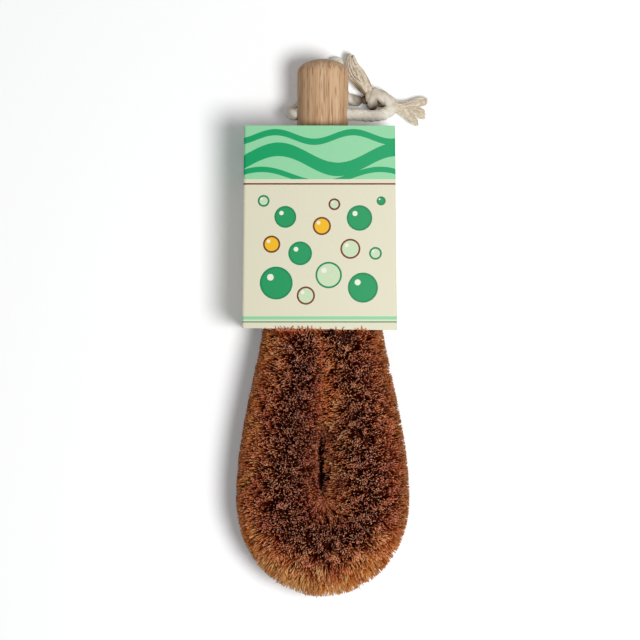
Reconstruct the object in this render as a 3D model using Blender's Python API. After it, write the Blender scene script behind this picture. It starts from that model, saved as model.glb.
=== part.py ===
"""Coir dish brush with a wooden handle, a hanging cord and a card sleeve.

The brush lies on a table: the handle points to +Y, the head to -Y, and Z is up.
The origin is on the table under the middle of the brush. All sizes are in metres.
Two steel wires are twisted together with coir fibre between them. The twisted stem is bent
to a teardrop, and both its ends are driven into the handle.
"""

import math

import bmesh
import bpy
import numpy as np

# Gap kept between pieces that touch on the real brush
CLEARANCE = 0.0003

# Handle: a turned rubberwood rod
HANDLE_DIAMETER = 0.0228
HANDLE_LENGTH = 0.107
DOME_HEIGHT = 0.0062
FOOT_CHAMFER = 0.0009
DOME_STEP_COUNT = 7
HANDLE_STEP_COUNT = 40
DRILL_STEP_COUNT = 20
DRILL_OVERRUN = 0.002
CORD_HOLE_DIAMETER = 0.0072
CORD_HOLE_FROM_TOP = 0.024
CORD_HOLE_EASE = 0.0007
SOCKET_DEPTH = 0.022

# Twisted stem: two galvanised wires
WIRE_DIAMETER = 0.0018
PINCHED_FIBRE = 0.0005
TWIST_PITCH = 0.012
TWIST_POINT_COUNT = 7
ARM_SPACING = 0.009
STEM_RUN = 0.0885
SPREAD_RATIO = 0.6
BEND_RADIUS = 0.0185
SOCKET_POINT_COUNT = 12
ARM_POINT_COUNT = 120
BEND_POINT_COUNT = 60
LOOK_AHEAD = 0.0004

# Coir: how far the fibre tips stand from the middle of the stem
REACH_SIDE = 0.0202
REACH_TIP = 0.025
REACH_UP = 0.0205
REST_CUT = 0.0005
DENSE_RATIO = 0.74
PARTING = 0.0016
BEND_EYE = 0.004
STRAND_COUNT_AROUND = 12
ARM_SLICE_COUNT = 6
ARM_ROW_COUNT = 2
TIP_SLICE_COUNT = 4
TIP_ROW_COUNT = 3
STRAND_ROOT = 0.0024
STRAND_TIP = 0.0013
STRAND_LEAN = 0.0009
STRAND_TRIM = 0.07
SLEEVE_LEAD = 0.0008
SHORTEST_STRAND = 0.0015
WIRE_HOLE_SIDE_COUNT = 8
WIRE_HOLE_RING_COUNT = 5

# Card sleeve: one sheet, creased four times, with a glued flap
SLEEVE_WIDTH_FOOT = 0.0681
SLEEVE_WIDTH_TOP = 0.0662
SLEEVE_LENGTH = 0.0892
SLEEVE_OFFSET = -0.0014
SLEEVE_OVERLAP = 0.0129
BOARD = 0.0006
CREASE_RADIUS = 0.0012
CREASE_POINT_COUNT = 3
FLAP_WIDTH = 0.014

# Hanging cord: cotton, passed through the handle and knotted
CORD_DIAMETER = 0.0053
CORD_STEP = 0.0026
ROUTE_FINENESS_COUNT = 20
CORD_SIDE_RESOLUTION = 3
TABLE_GAP = 0.0001
KNOT_SIZE = (0.0116, 0.0094, 0.0112)
KNOT_FROM_HANDLE = 0.0129
KNOT_FROM_HOLE = 0.0073
KNOT_RING_COUNT = 14
KNOT_SIDE_COUNT = 22
KNOT_RIDGE_COUNT = 3
KNOT_RIDGE_SHARE = 0.14
KNOT_SLANT = 4.4
TUFT_SIDE_COUNT = 12

# Places that follow from the sizes above
BRUSH_LENGTH = HANDLE_LENGTH + STEM_RUN + BEND_RADIUS + REACH_TIP
HANDLE_TOP = BRUSH_LENGTH / 2
HANDLE_FOOT = HANDLE_TOP - HANDLE_LENGTH
BEND_CENTRE = HANDLE_FOOT - STEM_RUN
AXIS_HEIGHT = REACH_UP - REST_CUT
HELIX_RADIUS = (WIRE_DIAMETER + PINCHED_FIBRE) / 2
PAIR_RADIUS = HELIX_RADIUS + WIRE_DIAMETER / 2
CORD_HOLE_Y = HANDLE_TOP - CORD_HOLE_FROM_TOP
SLEEVE_FOOT = HANDLE_FOOT - SLEEVE_OVERLAP
SLEEVE_DEPTH = 2 * AXIS_HEIGHT
KNOT_CENTRE = np.array([
    HANDLE_DIAMETER / 2 + KNOT_FROM_HANDLE,
    CORD_HOLE_Y + KNOT_FROM_HOLE,
    KNOT_SIZE[2] / 2 + TABLE_GAP,
])


def clear_scene():
    for thing in list(bpy.data.objects):
        bpy.data.objects.remove(thing, do_unlink=True)


def finish(name, colour, roughness, metallic=0.0):
    """One Principled material, its colour in linear light."""
    material = bpy.data.materials.new(name)
    material.use_nodes = True
    shader = material.node_tree.nodes["Principled BSDF"]
    shader.inputs["Base Color"].default_value = (*colour, 1.0)
    shader.inputs["Roughness"].default_value = roughness
    shader.inputs["Metallic"].default_value = metallic
    return material


def add_object(name, data, material):
    piece = bpy.data.objects.new(name, data)
    bpy.context.collection.objects.link(piece)
    if material is not None:
        data.materials.append(material)
    return piece


def mesh_from(name, points, faces):
    """A closed mesh with its faces turned outwards."""
    mesh = bpy.data.meshes.new(name)
    mesh.from_pydata([tuple(point) for point in points], [], faces)
    shape = bmesh.new()
    shape.from_mesh(mesh)
    bmesh.ops.recalc_face_normals(shape, faces=shape.faces)
    shape.to_mesh(mesh)
    shape.free()
    return mesh


def shade_smooth(mesh, degrees=35):
    mesh.shade_smooth()
    mesh.set_sharp_from_angle(angle=math.radians(degrees))


def turned(name, profile, steps, material):
    """A solid of revolution about local Z from (radius, height) points, top to bottom."""
    mesh = bpy.data.meshes.new(name)
    points = [(radius, 0.0, height) for radius, height in profile]
    edges = [(i, i + 1) for i in range(len(points) - 1)]
    mesh.from_pydata(points, edges, [])
    piece = add_object(name, mesh, material)
    screw = piece.modifiers.new("turning", "SCREW")
    screw.axis = "Z"
    screw.steps = steps
    screw.render_steps = steps
    screw.use_merge_vertices = True
    screw.merge_threshold = 0.00001
    screw.use_smooth_shade = True
    return piece


def cut(piece, cutter):
    cutter.hide_render = True
    cutter.display_type = "WIRE"
    boolean = piece.modifiers.new("cut by " + cutter.name, "BOOLEAN")
    boolean.operation = "DIFFERENCE"
    boolean.solver = "EXACT"
    boolean.object = cutter


# Handle

def handle_profile():
    """Radius and height from the top of the dome down to the foot, measured from the foot."""
    radius = HANDLE_DIAMETER / 2
    profile = []
    for i in range(DOME_STEP_COUNT + 1):
        angle = math.pi / 2 * i / DOME_STEP_COUNT
        down = DOME_HEIGHT * (1 - math.cos(angle))
        profile.append((radius * math.sin(angle), HANDLE_LENGTH - down))
    profile.append((radius, FOOT_CHAMFER))
    profile.append((radius - FOOT_CHAMFER, 0.0))
    profile.append((0.0, 0.0))
    return profile


def build_handle(material):
    handle = turned("handle", handle_profile(), HANDLE_STEP_COUNT, material)
    handle.location = (0.0, HANDLE_FOOT, AXIS_HEIGHT)
    handle.rotation_euler = (-math.pi / 2, 0.0, 0.0)

    half = HANDLE_DIAMETER / 2
    bore = CORD_HOLE_DIAMETER / 2
    ease = CORD_HOLE_EASE
    beyond = half + DRILL_OVERRUN
    drill = [
        (0.0, beyond), (bore + 2 * ease, beyond), (bore + ease, half), (bore, half - 2 * ease),
        (bore, 2 * ease - half), (bore + ease, -half), (bore + 2 * ease, -beyond), (0.0, -beyond),
    ]
    cord_drill = turned("cord_drill", drill, DRILL_STEP_COUNT, None)
    cord_drill.location = (0.0, CORD_HOLE_Y, AXIS_HEIGHT)
    cord_drill.rotation_euler = (0.0, math.pi / 2, 0.0)
    cut(handle, cord_drill)

    socket = PAIR_RADIUS + CLEARANCE
    below = -DRILL_OVERRUN
    for side in (-1, 1):
        point = SOCKET_DEPTH - socket / 2
        profile = [(0.0, SOCKET_DEPTH), (socket, point), (socket, below), (0.0, below)]
        socket_drill = turned("socket_drill", profile, DRILL_STEP_COUNT, None)
        socket_drill.location = (side * ARM_SPACING / 2, HANDLE_FOOT, AXIS_HEIGHT)
        socket_drill.rotation_euler = (-math.pi / 2, 0.0, 0.0)
        cut(handle, socket_drill)
    return handle


# Twisted stem

class Stem:
    """The middle line of the twisted stem, measured along its length from its left end."""

    def __init__(self):
        root = HANDLE_FOOT + SOCKET_DEPTH - PAIR_RADIUS
        in_socket = []
        for y in np.linspace(root, HANDLE_FOOT, SOCKET_POINT_COUNT)[:-1]:
            in_socket.append((-ARM_SPACING / 2, y))
        arm = []
        for t in np.linspace(0, 1, ARM_POINT_COUNT):
            arm.append((-self.arm_offset(t), HANDLE_FOOT - STEM_RUN * t))
        bend = []
        for angle in np.linspace(0, math.pi / 2, BEND_POINT_COUNT)[1:]:
            bend.append((-BEND_RADIUS * math.cos(angle), BEND_CENTRE - BEND_RADIUS * math.sin(angle)))
        left = in_socket + arm + bend
        right = [(-x, y) for x, y in reversed(left[:-1])]
        self.points = np.array(left + right)
        steps = np.linalg.norm(np.diff(self.points, axis=0), axis=1)
        self.along = np.concatenate([[0.0], np.cumsum(steps)])
        self.length = self.along[-1]
        self.foot = self.along[len(in_socket)]
        self.bend_start = self.along[len(in_socket) + len(arm) - 1]

    @staticmethod
    def arm_offset(t):
        """Half the distance between the arms, from the handle (t = 0) to the bend (t = 1)."""
        rise = 3 * t ** 2 - 2 * t ** 3 + SPREAD_RATIO * (t - 2 * t ** 2 + t ** 3)
        return ARM_SPACING / 2 + (BEND_RADIUS - ARM_SPACING / 2) * rise

    def place(self, distance):
        x = np.interp(distance, self.along, self.points[:, 0])
        y = np.interp(distance, self.along, self.points[:, 1])
        return np.array([x, y, AXIS_HEIGHT])

    def forward(self, distance):
        step = self.place(distance + LOOK_AHEAD) - self.place(distance - LOOK_AHEAD)
        return step / np.linalg.norm(step)

    def outward(self, distance):
        """Level, square to the stem, and away from the inside of the teardrop."""
        ahead = self.forward(distance)
        return np.array([ahead[1], -ahead[0], 0.0])

    def bend_share(self, distance):
        """0 along the arms, 1 at the lowest point of the bend."""
        length = self.length - 2 * self.bend_start
        t = (distance - self.bend_start) / length
        return math.sin(math.pi * min(max(t, 0.0), 1.0)) ** 2


def tube(name, points, diameter, resolution, material):
    """A cord or wire along points, with filled ends."""
    curve = bpy.data.curves.new(name, "CURVE")
    curve.dimensions = "3D"
    curve.bevel_depth = diameter / 2
    curve.bevel_resolution = resolution
    curve.use_fill_caps = True
    spline = curve.splines.new("POLY")
    spline.points.add(len(points) - 1)
    for spot, point in zip(spline.points, points):
        spot.co = (*point, 1.0)
    spline.use_smooth = True
    return add_object(name, curve, material)


def build_wire(name, stem, phase, material):
    turns = round(stem.length / TWIST_PITCH)
    count = turns * TWIST_POINT_COUNT + 1
    points = []
    for i in range(count):
        distance = stem.length * i / (count - 1)
        angle = 2 * math.pi * i / TWIST_POINT_COUNT + phase
        middle = stem.place(distance)
        across = stem.outward(distance) * math.cos(angle) + np.array([0, 0, math.sin(angle)])
        points.append(middle + HELIX_RADIUS * across)
    return tube(name, points, WIRE_DIAMETER, 1, material)


# Coir

def direction(stem, distance, angle):
    """Square to the stem: 0 points outwards, a quarter turn points up."""
    up = np.array([0.0, 0.0, math.sin(angle)])
    return stem.outward(distance) * math.cos(angle) + up


def fibre_reach(stem, distance, angle):
    """How far the fibre tips would stand from the stem if nothing were in their way."""
    out = REACH_SIDE + (REACH_TIP - REACH_SIDE) * stem.bend_share(distance)
    return 1 / math.hypot(math.cos(angle) / out, math.sin(angle) / REACH_UP)


def fibre_limit(stem, distance, angle, reach):
    """That reach, cut short by the parting, the inside of the bend, the sleeve and the table."""
    middle = stem.place(distance)
    across = direction(stem, distance, angle)
    towards_parting = -across[0] * np.sign(middle[0])
    if towards_parting > 1e-6:
        reach = min(reach, (abs(middle[0]) - PARTING / 2) / towards_parting)
    if math.cos(angle) < 0:
        in_bend = min(1.0, 3 * stem.bend_share(distance))
        reach = min(reach, REACH_SIDE + (BEND_RADIUS - BEND_EYE - REACH_SIDE) * in_bend)
    rise = abs(across[2])
    if middle[1] + reach * across[1] > SLEEVE_FOOT - SLEEVE_LEAD:
        reach = min(reach, (AXIS_HEIGHT - BOARD - CLEARANCE) / max(rise, 1e-6))
    elif across[2] < 0:
        reach = min(reach, AXIS_HEIGHT / max(rise, 1e-6))
    return reach


def core_rings(stem, start, end, rows):
    """Rings of the dense core; the faces between rings 1 and 2, 3 and 4, ... carry strands."""
    row_step = (end - start) / rows
    stations = [(start, 0, CLEARANCE / 2)]
    for row in range(rows):
        centre = start + (row + 0.5) * row_step
        stations.append((centre - STRAND_ROOT / 2, row, 0.0))
        stations.append((centre + STRAND_ROOT / 2, row, 0.0))
    stations.append((end, rows - 1, -CLEARANCE / 2))

    column_step = 2 * math.pi / STRAND_COUNT_AROUND
    root_angle = STRAND_ROOT / (DENSE_RATIO * REACH_SIDE)
    rings = []
    for distance, row, shift in stations:
        middle = stem.place(distance) + shift * stem.forward(distance)
        for column in range(STRAND_COUNT_AROUND):
            centre = (column + row % 2 / 2) * column_step
            for angle in (centre - root_angle / 2, centre + root_angle / 2):
                dense = DENSE_RATIO * fibre_reach(stem, distance, angle)
                radius = fibre_limit(stem, distance, angle, dense)
                rings.append(middle + radius * direction(stem, distance, angle))
    return rings


def wire_hole_rings(stem, start, end):
    """Rings of the hole that the wire pair runs through."""
    radius = (PAIR_RADIUS + CLEARANCE) / math.cos(math.pi / WIRE_HOLE_SIDE_COUNT)
    spots = [(start, CLEARANCE / 2)]
    for distance in np.linspace(start, end, WIRE_HOLE_RING_COUNT)[1:-1]:
        spots.append((distance, 0.0))
    spots.append((end, -CLEARANCE / 2))
    rings = []
    for distance, shift in spots:
        middle = stem.place(distance) + shift * stem.forward(distance)
        for side in range(WIRE_HOLE_SIDE_COUNT):
            angle = 2 * math.pi * side / WIRE_HOLE_SIDE_COUNT
            rings.append(middle + radius * direction(stem, distance, angle))
    return rings


def strand_tip(stem, distance, angle, rng):
    """The four corners of a strand's cut end, or None where it has no room to stand out."""
    trim, lean_along, lean_aside = rng.uniform((0.0, -1.0, -1.0), (STRAND_TRIM, 1.0, 1.0))
    full = fibre_reach(stem, distance, angle)
    dense = fibre_limit(stem, distance, angle, DENSE_RATIO * full)
    free = abs(math.sin(2 * angle))
    tip = fibre_limit(stem, distance, angle, full * (1 - trim * free))
    if tip - dense < SHORTEST_STRAND:
        return None
    along = stem.forward(distance)
    aside = direction(stem, distance, angle + math.pi / 2)
    centre = stem.place(distance) + tip * direction(stem, distance, angle)
    centre = centre + free * STRAND_LEAN * (lean_along * along + lean_aside * aside)
    half = STRAND_TIP / 2
    corners = []
    for step_along, step_aside in ((-half, -half), (-half, half), (half, half), (half, -half)):
        corner = centre + step_along * along + step_aside * aside
        corner[2] = max(corner[2], 0.0)
        corners.append(corner)
    return corners


def build_slice(name, stem, start, end, rows, material, rng):
    """Coir along a stretch of the stem: a dense core round the wires, with strands standing out."""
    points = core_rings(stem, start, end, rows)
    columns = 2 * STRAND_COUNT_AROUND
    bands = 2 * rows + 1
    faces = []
    for band in range(bands):
        row = (band - 1) // 2
        distance = start + (row + 0.5) * (end - start) / rows
        for column in range(columns):
            after = (column + 1) % columns
            low, high = band * columns, (band + 1) * columns
            root = [low + column, low + after, high + after, high + column]
            tip = None
            if band % 2 == 1 and column % 2 == 0:
                angle = (column + row % 2) * math.pi / STRAND_COUNT_AROUND
                tip = strand_tip(stem, distance, angle, rng)
            if tip is None:
                faces.append(root)
                continue
            cap = [len(points) + k for k in range(4)]
            points += tip
            faces.append(cap)
            faces += [[root[k], root[(k + 1) % 4], cap[(k + 1) % 4], cap[k]] for k in range(4)]

    hole = len(points)
    sides = WIRE_HOLE_SIDE_COUNT
    points += wire_hole_rings(stem, start, end)
    for low in range(hole, hole + (WIRE_HOLE_RING_COUNT - 1) * sides, sides):
        for side in range(sides):
            after = (side + 1) % sides
            faces.append([low + side, low + sides + side, low + sides + after, low + after])

    share = columns // sides
    far_hole = hole + (WIRE_HOLE_RING_COUNT - 1) * sides
    for outer, inner in ((0, hole), (bands * columns, far_hole)):
        for side in range(sides):
            edge = [outer + (side * share + k) % columns for k in range(share + 1)]
            faces.append(edge + [inner + (side + 1) % sides, inner + side])
    return add_object(name, mesh_from(name, points, faces), material)


def build_coir(stem, material):
    """Slices of coir from the left arm round the tip to the right arm."""
    rng = np.random.default_rng(7)
    foot = stem.foot + 2 * CLEARANCE
    mouth = stem.foot + (HANDLE_FOOT - SLEEVE_FOOT)
    arm_cuts = [foot] + list(np.linspace(mouth, stem.bend_start, ARM_SLICE_COUNT))
    tip_cuts = list(np.linspace(stem.bend_start, stem.length - stem.bend_start, TIP_SLICE_COUNT + 1))
    for i in range(ARM_SLICE_COUNT):
        name = f"coir_left_{i + 1}"
        build_slice(name, stem, arm_cuts[i], arm_cuts[i + 1], ARM_ROW_COUNT, material, rng)
    for i in range(TIP_SLICE_COUNT):
        name = f"coir_tip_{i + 1}"
        build_slice(name, stem, tip_cuts[i], tip_cuts[i + 1], TIP_ROW_COUNT, material, rng)
    for i in range(ARM_SLICE_COUNT):
        name = f"coir_right_{i + 1}"
        near, far = stem.length - arm_cuts[i], stem.length - arm_cuts[i + 1]
        build_slice(name, stem, far, near, ARM_ROW_COUNT, material, rng)


# Card sleeve

def sleeve_outline(width):
    """The sheet's outer line across the sleeve, from the left side's foot round to the flap's end."""
    half = width / 2
    left, right = SLEEVE_OFFSET - half, SLEEVE_OFFSET + half
    inset = BOARD + CLEARANCE
    top = SLEEVE_DEPTH

    def crease(x, z, start):
        line = []
        for i in range(CREASE_POINT_COUNT):
            angle = math.radians(start - 90 * i / (CREASE_POINT_COUNT - 1))
            line.append((x + CREASE_RADIUS * math.cos(angle), z + CREASE_RADIUS * math.sin(angle)))
        return line

    r = CREASE_RADIUS
    line = [(left, r)]
    line += crease(left + r, top - r, 180)
    line += crease(right - r, top - r, 90)
    line += crease(right - r, r, 0)
    line += crease(left + inset + r, r, -90)
    line.append((left + inset, FLAP_WIDTH))
    return line


def build_sleeve(material):
    foot = sleeve_outline(SLEEVE_WIDTH_FOOT)
    top = sleeve_outline(SLEEVE_WIDTH_TOP)
    points = [(x, SLEEVE_FOOT, z) for x, z in foot]
    points += [(x, SLEEVE_FOOT + SLEEVE_LENGTH, z) for x, z in top]
    count = len(foot)
    faces = [[i, i + 1, count + i + 1, count + i] for i in range(count - 1)]
    mesh = bpy.data.meshes.new("card_sleeve")
    mesh.from_pydata(points, [], faces)
    sleeve = add_object("card_sleeve", mesh, material)
    board = sleeve.modifiers.new("board", "SOLIDIFY")
    board.thickness = BOARD
    board.offset = -1.0
    board.use_even_offset = True
    board.use_rim = True
    return sleeve


# Hanging cord

def smooth_route(points, step):
    """Points a step apart on a smooth curve through a cord's route."""
    route = np.array(points)
    ends = np.vstack([2 * route[0] - route[1], route, 2 * route[-1] - route[-2]])
    fine = []
    for i in range(1, len(ends) - 2):
        before, here, there, after = ends[i - 1:i + 3]
        for t in np.linspace(0, 1, ROUTE_FINENESS_COUNT, endpoint=False):
            fine.append(0.5 * (2 * here + (there - before) * t
                               + (2 * before - 5 * here + 4 * there - after) * t ** 2
                               + (3 * here - before - 3 * there + after) * t ** 3))
    fine.append(route[-1])
    fine = np.array(fine)
    along = np.concatenate([[0.0], np.cumsum(np.linalg.norm(np.diff(fine, axis=0), axis=1))])
    count = max(4, round(along[-1] / step) + 1)
    marks = np.linspace(0, along[-1], count)
    return np.stack([np.interp(marks, along, fine[:, k]) for k in range(3)], axis=1)


def cord_route():
    """From the knot's right side, through the handle, round behind it and back to the knot."""
    slack = (CORD_HOLE_DIAMETER - CORD_DIAMETER) / 2 - CLEARANCE
    sag = slack * math.sqrt(0.5)
    in_hole = AXIS_HEIGHT - sag
    side = HANDLE_DIAMETER / 2
    lying = CORD_DIAMETER / 2 + TABLE_GAP
    route = [
        (side + 0.0178, 0.0010, 0.0062),
        (side + 0.0148, -0.0001, 0.0084),
        (side + 0.0105, -0.0009, 0.0124),
        (side + 0.0065, -0.0009, 0.0166),
        (side + 0.0028, -0.0007, in_hole - 0.0004),
        (side - 0.0030, -sag, in_hole),
        (0.0, -sag, in_hole),
        (0.0030 - side, -sag, in_hole),
        (-side - 0.0009, -0.0005, in_hole - 0.0009),
        (-side - 0.0023, 0.0000, 0.0150),
        (-side - 0.0019, 0.0012, 0.0096),
        (-side + 0.0010, 0.0036, 0.0044),
        (-0.0060, 0.0086, lying),
        (-0.0016, 0.0150, lying),
        (0.0022, 0.0212, lying),
        (0.0058, 0.0237, lying),
        (0.0083, 0.0214, lying),
        (0.0087, 0.0165, lying),
        (0.0089, 0.0115, lying),
        (0.0104, 0.0081, lying),
        (0.0138, 0.0067, lying + 0.0006),
        (side + 0.0067, 0.0068, 0.0048),
    ]
    return [(x, CORD_HOLE_Y + y, z) for x, y, z in route]


def build_knot(material):
    """An overhand knot pulled tight: an egg with the winding cord standing out in ridges."""
    rings, sides = KNOT_RING_COUNT, KNOT_SIDE_COUNT
    size_x, size_y, size_z = (extent / 2 for extent in KNOT_SIZE)
    points = [KNOT_CENTRE - np.array([size_x, 0, 0])]
    for ring in range(1, rings):
        polar = math.pi * ring / rings
        for side in range(sides):
            turn = 2 * math.pi * side / sides
            wave = math.cos(KNOT_RIDGE_COUNT * turn + KNOT_SLANT * polar) * math.sin(polar)
            ridge = 1 - KNOT_RIDGE_SHARE * (1 - wave)
            points.append(KNOT_CENTRE + np.array([
                -size_x * math.cos(polar),
                size_y * ridge * math.sin(polar) * math.cos(turn),
                size_z * ridge * math.sin(polar) * math.sin(turn),
            ]))
    points.append(KNOT_CENTRE + np.array([size_x, 0, 0]))
    last = len(points) - 1
    faces = []
    for side in range(sides):
        after = (side + 1) % sides
        faces.append([0, 1 + side, 1 + after])
        faces.append([last, last - sides + after, last - sides + side])
        for ring in range(rings - 2):
            low = 1 + ring * sides
            faces.append([low + side, low + sides + side, low + sides + after, low + after])
    knot = add_object("cord_knot", mesh_from("cord_knot", points, faces), material)
    shade_smooth(knot.data, 60)
    return knot


def build_cord_end(name, route, widths, heights, material):
    """A loose end of the cord, opened into a frayed tuft. Its route starts from the knot's middle,
    and its heights above the table are given with it."""
    sides = TUFT_SIDE_COUNT
    route = np.array(route) + np.array([KNOT_CENTRE[0], KNOT_CENTRE[1], 0.0])
    points = []
    for i, middle in enumerate(route):
        ahead = route[min(i + 1, len(route) - 1)] - route[max(i - 1, 0)]
        ahead = ahead / np.linalg.norm(ahead)
        aside = np.cross(np.array([0.0, 0.0, 1.0]), ahead)
        aside = aside / np.linalg.norm(aside)
        up = np.cross(ahead, aside)
        for side in range(sides):
            turn = 2 * math.pi * side / sides
            points.append(middle + aside * widths[i] / 2 * math.cos(turn)
                          + up * heights[i] / 2 * math.sin(turn))
    faces = [list(range(sides)), list(range(len(points) - sides, len(points)))]
    for i in range(len(route) - 1):
        for side in range(sides):
            after = (side + 1) % sides
            low = i * sides
            faces.append([low + side, low + after, low + sides + after, low + sides + side])
    tuft = add_object(name, mesh_from(name, points, faces), material)
    shade_smooth(tuft.data, 50)
    return tuft


def build_cord(material):
    route = smooth_route(cord_route(), CORD_STEP)
    tube("hanging_cord", route, CORD_DIAMETER, CORD_SIDE_RESOLUTION, material)
    build_knot(material)
    build_cord_end(
        "cord_end_upper",
        [(-0.0045, 0.0038, 0.0062), (-0.0070, 0.0071, 0.0062), (-0.0099, 0.0111, 0.0060),
         (-0.0118, 0.0150, 0.0060), (-0.0125, 0.0186, 0.0050)],
        [0.0050, 0.0062, 0.0062, 0.0056, 0.0038],
        [0.0050, 0.0054, 0.0050, 0.0042, 0.0032],
        material,
    )
    build_cord_end(
        "cord_end_right",
        [(0.0060, -0.0014, 0.0056), (0.0091, -0.0032, 0.0050), (0.0132, -0.0045, 0.0042),
         (0.0173, -0.0054, 0.0036), (0.0202, -0.0057, 0.0032), (0.0222, -0.0058, 0.0030)],
        [0.0048, 0.0058, 0.0080, 0.0114, 0.0126, 0.0128],
        [0.0050, 0.0052, 0.0050, 0.0046, 0.0042, 0.0038],
        material,
    )


def main():
    clear_scene()
    wood = finish("rubberwood", (0.51, 0.34, 0.19), 0.55)
    steel = finish("galvanised_wire", (0.45, 0.45, 0.44), 0.4, 1.0)
    coir = finish("coir_fibre", (0.20, 0.07, 0.03), 0.85)
    cotton = finish("cotton_cord", (0.62, 0.55, 0.44), 0.9)
    card = finish("printed_card", (0.75, 0.74, 0.56), 0.7)

    stem = Stem()
    build_handle(wood)
    build_wire("twist_wire_a", stem, 0.0, steel)
    build_wire("twist_wire_b", stem, math.pi, steel)
    build_coir(stem, coir)
    build_sleeve(card)
    build_cord(cotton)


main()
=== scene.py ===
"""The looks of a coir dish brush, section by section in the order that it is put together:
the twisted wire stem, the coir, the wooden handle, the hanging cord and the card sleeve."""

import functools
import math

import bpy
import numpy as np
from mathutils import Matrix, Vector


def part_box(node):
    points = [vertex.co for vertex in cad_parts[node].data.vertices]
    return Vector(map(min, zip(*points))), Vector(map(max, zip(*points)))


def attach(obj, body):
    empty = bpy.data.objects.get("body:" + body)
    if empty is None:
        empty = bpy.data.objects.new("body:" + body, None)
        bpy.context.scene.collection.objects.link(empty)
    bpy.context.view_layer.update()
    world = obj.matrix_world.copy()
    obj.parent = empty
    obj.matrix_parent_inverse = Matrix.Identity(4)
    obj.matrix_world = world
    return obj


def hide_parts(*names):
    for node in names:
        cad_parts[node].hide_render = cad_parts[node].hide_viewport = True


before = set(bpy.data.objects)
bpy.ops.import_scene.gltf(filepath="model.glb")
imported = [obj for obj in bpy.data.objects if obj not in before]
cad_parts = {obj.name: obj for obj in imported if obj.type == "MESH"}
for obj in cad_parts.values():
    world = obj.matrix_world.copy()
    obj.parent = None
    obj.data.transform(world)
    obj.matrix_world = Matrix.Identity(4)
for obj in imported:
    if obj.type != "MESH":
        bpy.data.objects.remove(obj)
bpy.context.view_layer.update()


# Table, camera and light
# The brush lies on a white table top and is seen from straight above, its handle upwards.
# One large soft lamp stands to the right and a little below, and the room fills the shadows.

CAMERA_ABOVE = 1.52
VIEW_CENTRE = (-0.0012, 0.0036)
LENS_MM = 190
LAMP_PLACE = (0.40, -0.16, 1.25)
LAMP_SIZE = 0.46
LAMP_WATTS = 14.0
ROOM_LIGHT = 0.20


def linear(hex_colour):
    """An sRGB colour such as #8a4526 in linear light, with full alpha."""
    channels = [int(hex_colour[i:i + 2], 16) / 255 for i in (1, 3, 5)]
    return [c / 12.92 if c <= 0.04045 else ((c + 0.055) / 1.055) ** 2.4 for c in channels] + [1.0]


def add_node(tree, kind, inputs=None, stops=(), **settings):
    """A node with its settings and, on a colour ramp, its stops from low to high. Each input is
    a number, a hex colour or a link: a socket, or a node for its first output in use. On a Mix
    node set to colours, sockets 6 and 7 are the colours at factor 0 and 1."""
    node = tree.nodes.new("ShaderNode" + kind)
    for name, value in settings.items():
        setattr(node, name, value)
    for position, _ in stops[1:-1]:
        node.color_ramp.elements.new(position)
    for i, (position, hex_colour) in enumerate(stops):
        node.color_ramp.elements[i].position = position
        node.color_ramp.elements[i].color = linear(hex_colour)
    for socket, value in (inputs or {}).items():
        if isinstance(value, str):
            value = linear(value)
        if isinstance(value, bpy.types.Node):
            value = next(output for output in value.outputs if output.enabled)
        if isinstance(value, bpy.types.NodeSocket):
            tree.links.new(value, node.inputs[socket])
        else:
            node.inputs[socket].default_value = value
    return node


def emptied(owner):
    """Takes the nodes out of a material or a world, and gives a function that adds new ones."""
    owner.use_nodes = True
    owner.node_tree.nodes.clear()
    return functools.partial(add_node, owner.node_tree)


def new_material(name):
    """A new material with no nodes yet, and the function that adds its nodes."""
    material = bpy.data.materials.new(name)
    return material, emptied(material)


bpy.ops.object.select_all(action="DESELECT")
bpy.ops.mesh.primitive_plane_add(size=6, location=(0, 0, -0.0002))
table_top = bpy.context.object
table_top.name = "table_top"

# White laminate: what the camera sees directly is lifted to white, and the shadow is kept
laminate, add = new_material("white_laminate")
path = add("LightPath")
lift = add("Math", {0: path.outputs["Is Camera Ray"], 1: 0.15}, operation="MULTIPLY")
matt = add("BsdfDiffuse", {"Color": "#fbfbfb"})
glow = add("Emission", {"Color": "#ffffff", "Strength": lift})
both = add("AddShader", {0: matt, 1: glow})
add("OutputMaterial", {"Surface": both})
table_top.data.materials.append(laminate)

room = bpy.data.worlds.new("room")
bpy.context.scene.world = room
add = emptied(room)
path = add("LightPath")
strength = add("MapRange", {
    "Value": path.outputs["Is Camera Ray"], "To Min": ROOM_LIGHT, "To Max": 1.0})
walls = add("Background", {"Color": "#f8faff", "Strength": strength})
add("OutputWorld", {"Surface": walls})

bpy.ops.object.light_add(type="AREA", location=LAMP_PLACE)
lamp = bpy.context.object
lamp.name = "soft_lamp"
lamp.data.shape = "DISK"
lamp.data.size = LAMP_SIZE
lamp.data.energy = LAMP_WATTS
lamp.rotation_mode = "QUATERNION"
lamp.rotation_quaternion = lamp.location.to_track_quat("Z", "Y")

bpy.ops.object.camera_add(location=(*VIEW_CENTRE, CAMERA_ABOVE), rotation=(0, 0, 0))
camera = bpy.context.object
camera.data.lens = LENS_MM
bpy.context.scene.camera = camera
bpy.context.scene.view_settings.view_transform = "Standard"


# Twisted stem
# Two galvanised steel wires are twisted together with the coir between them, bent to a
# teardrop and driven into the handle. They are the solids of the construction as they are.

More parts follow.
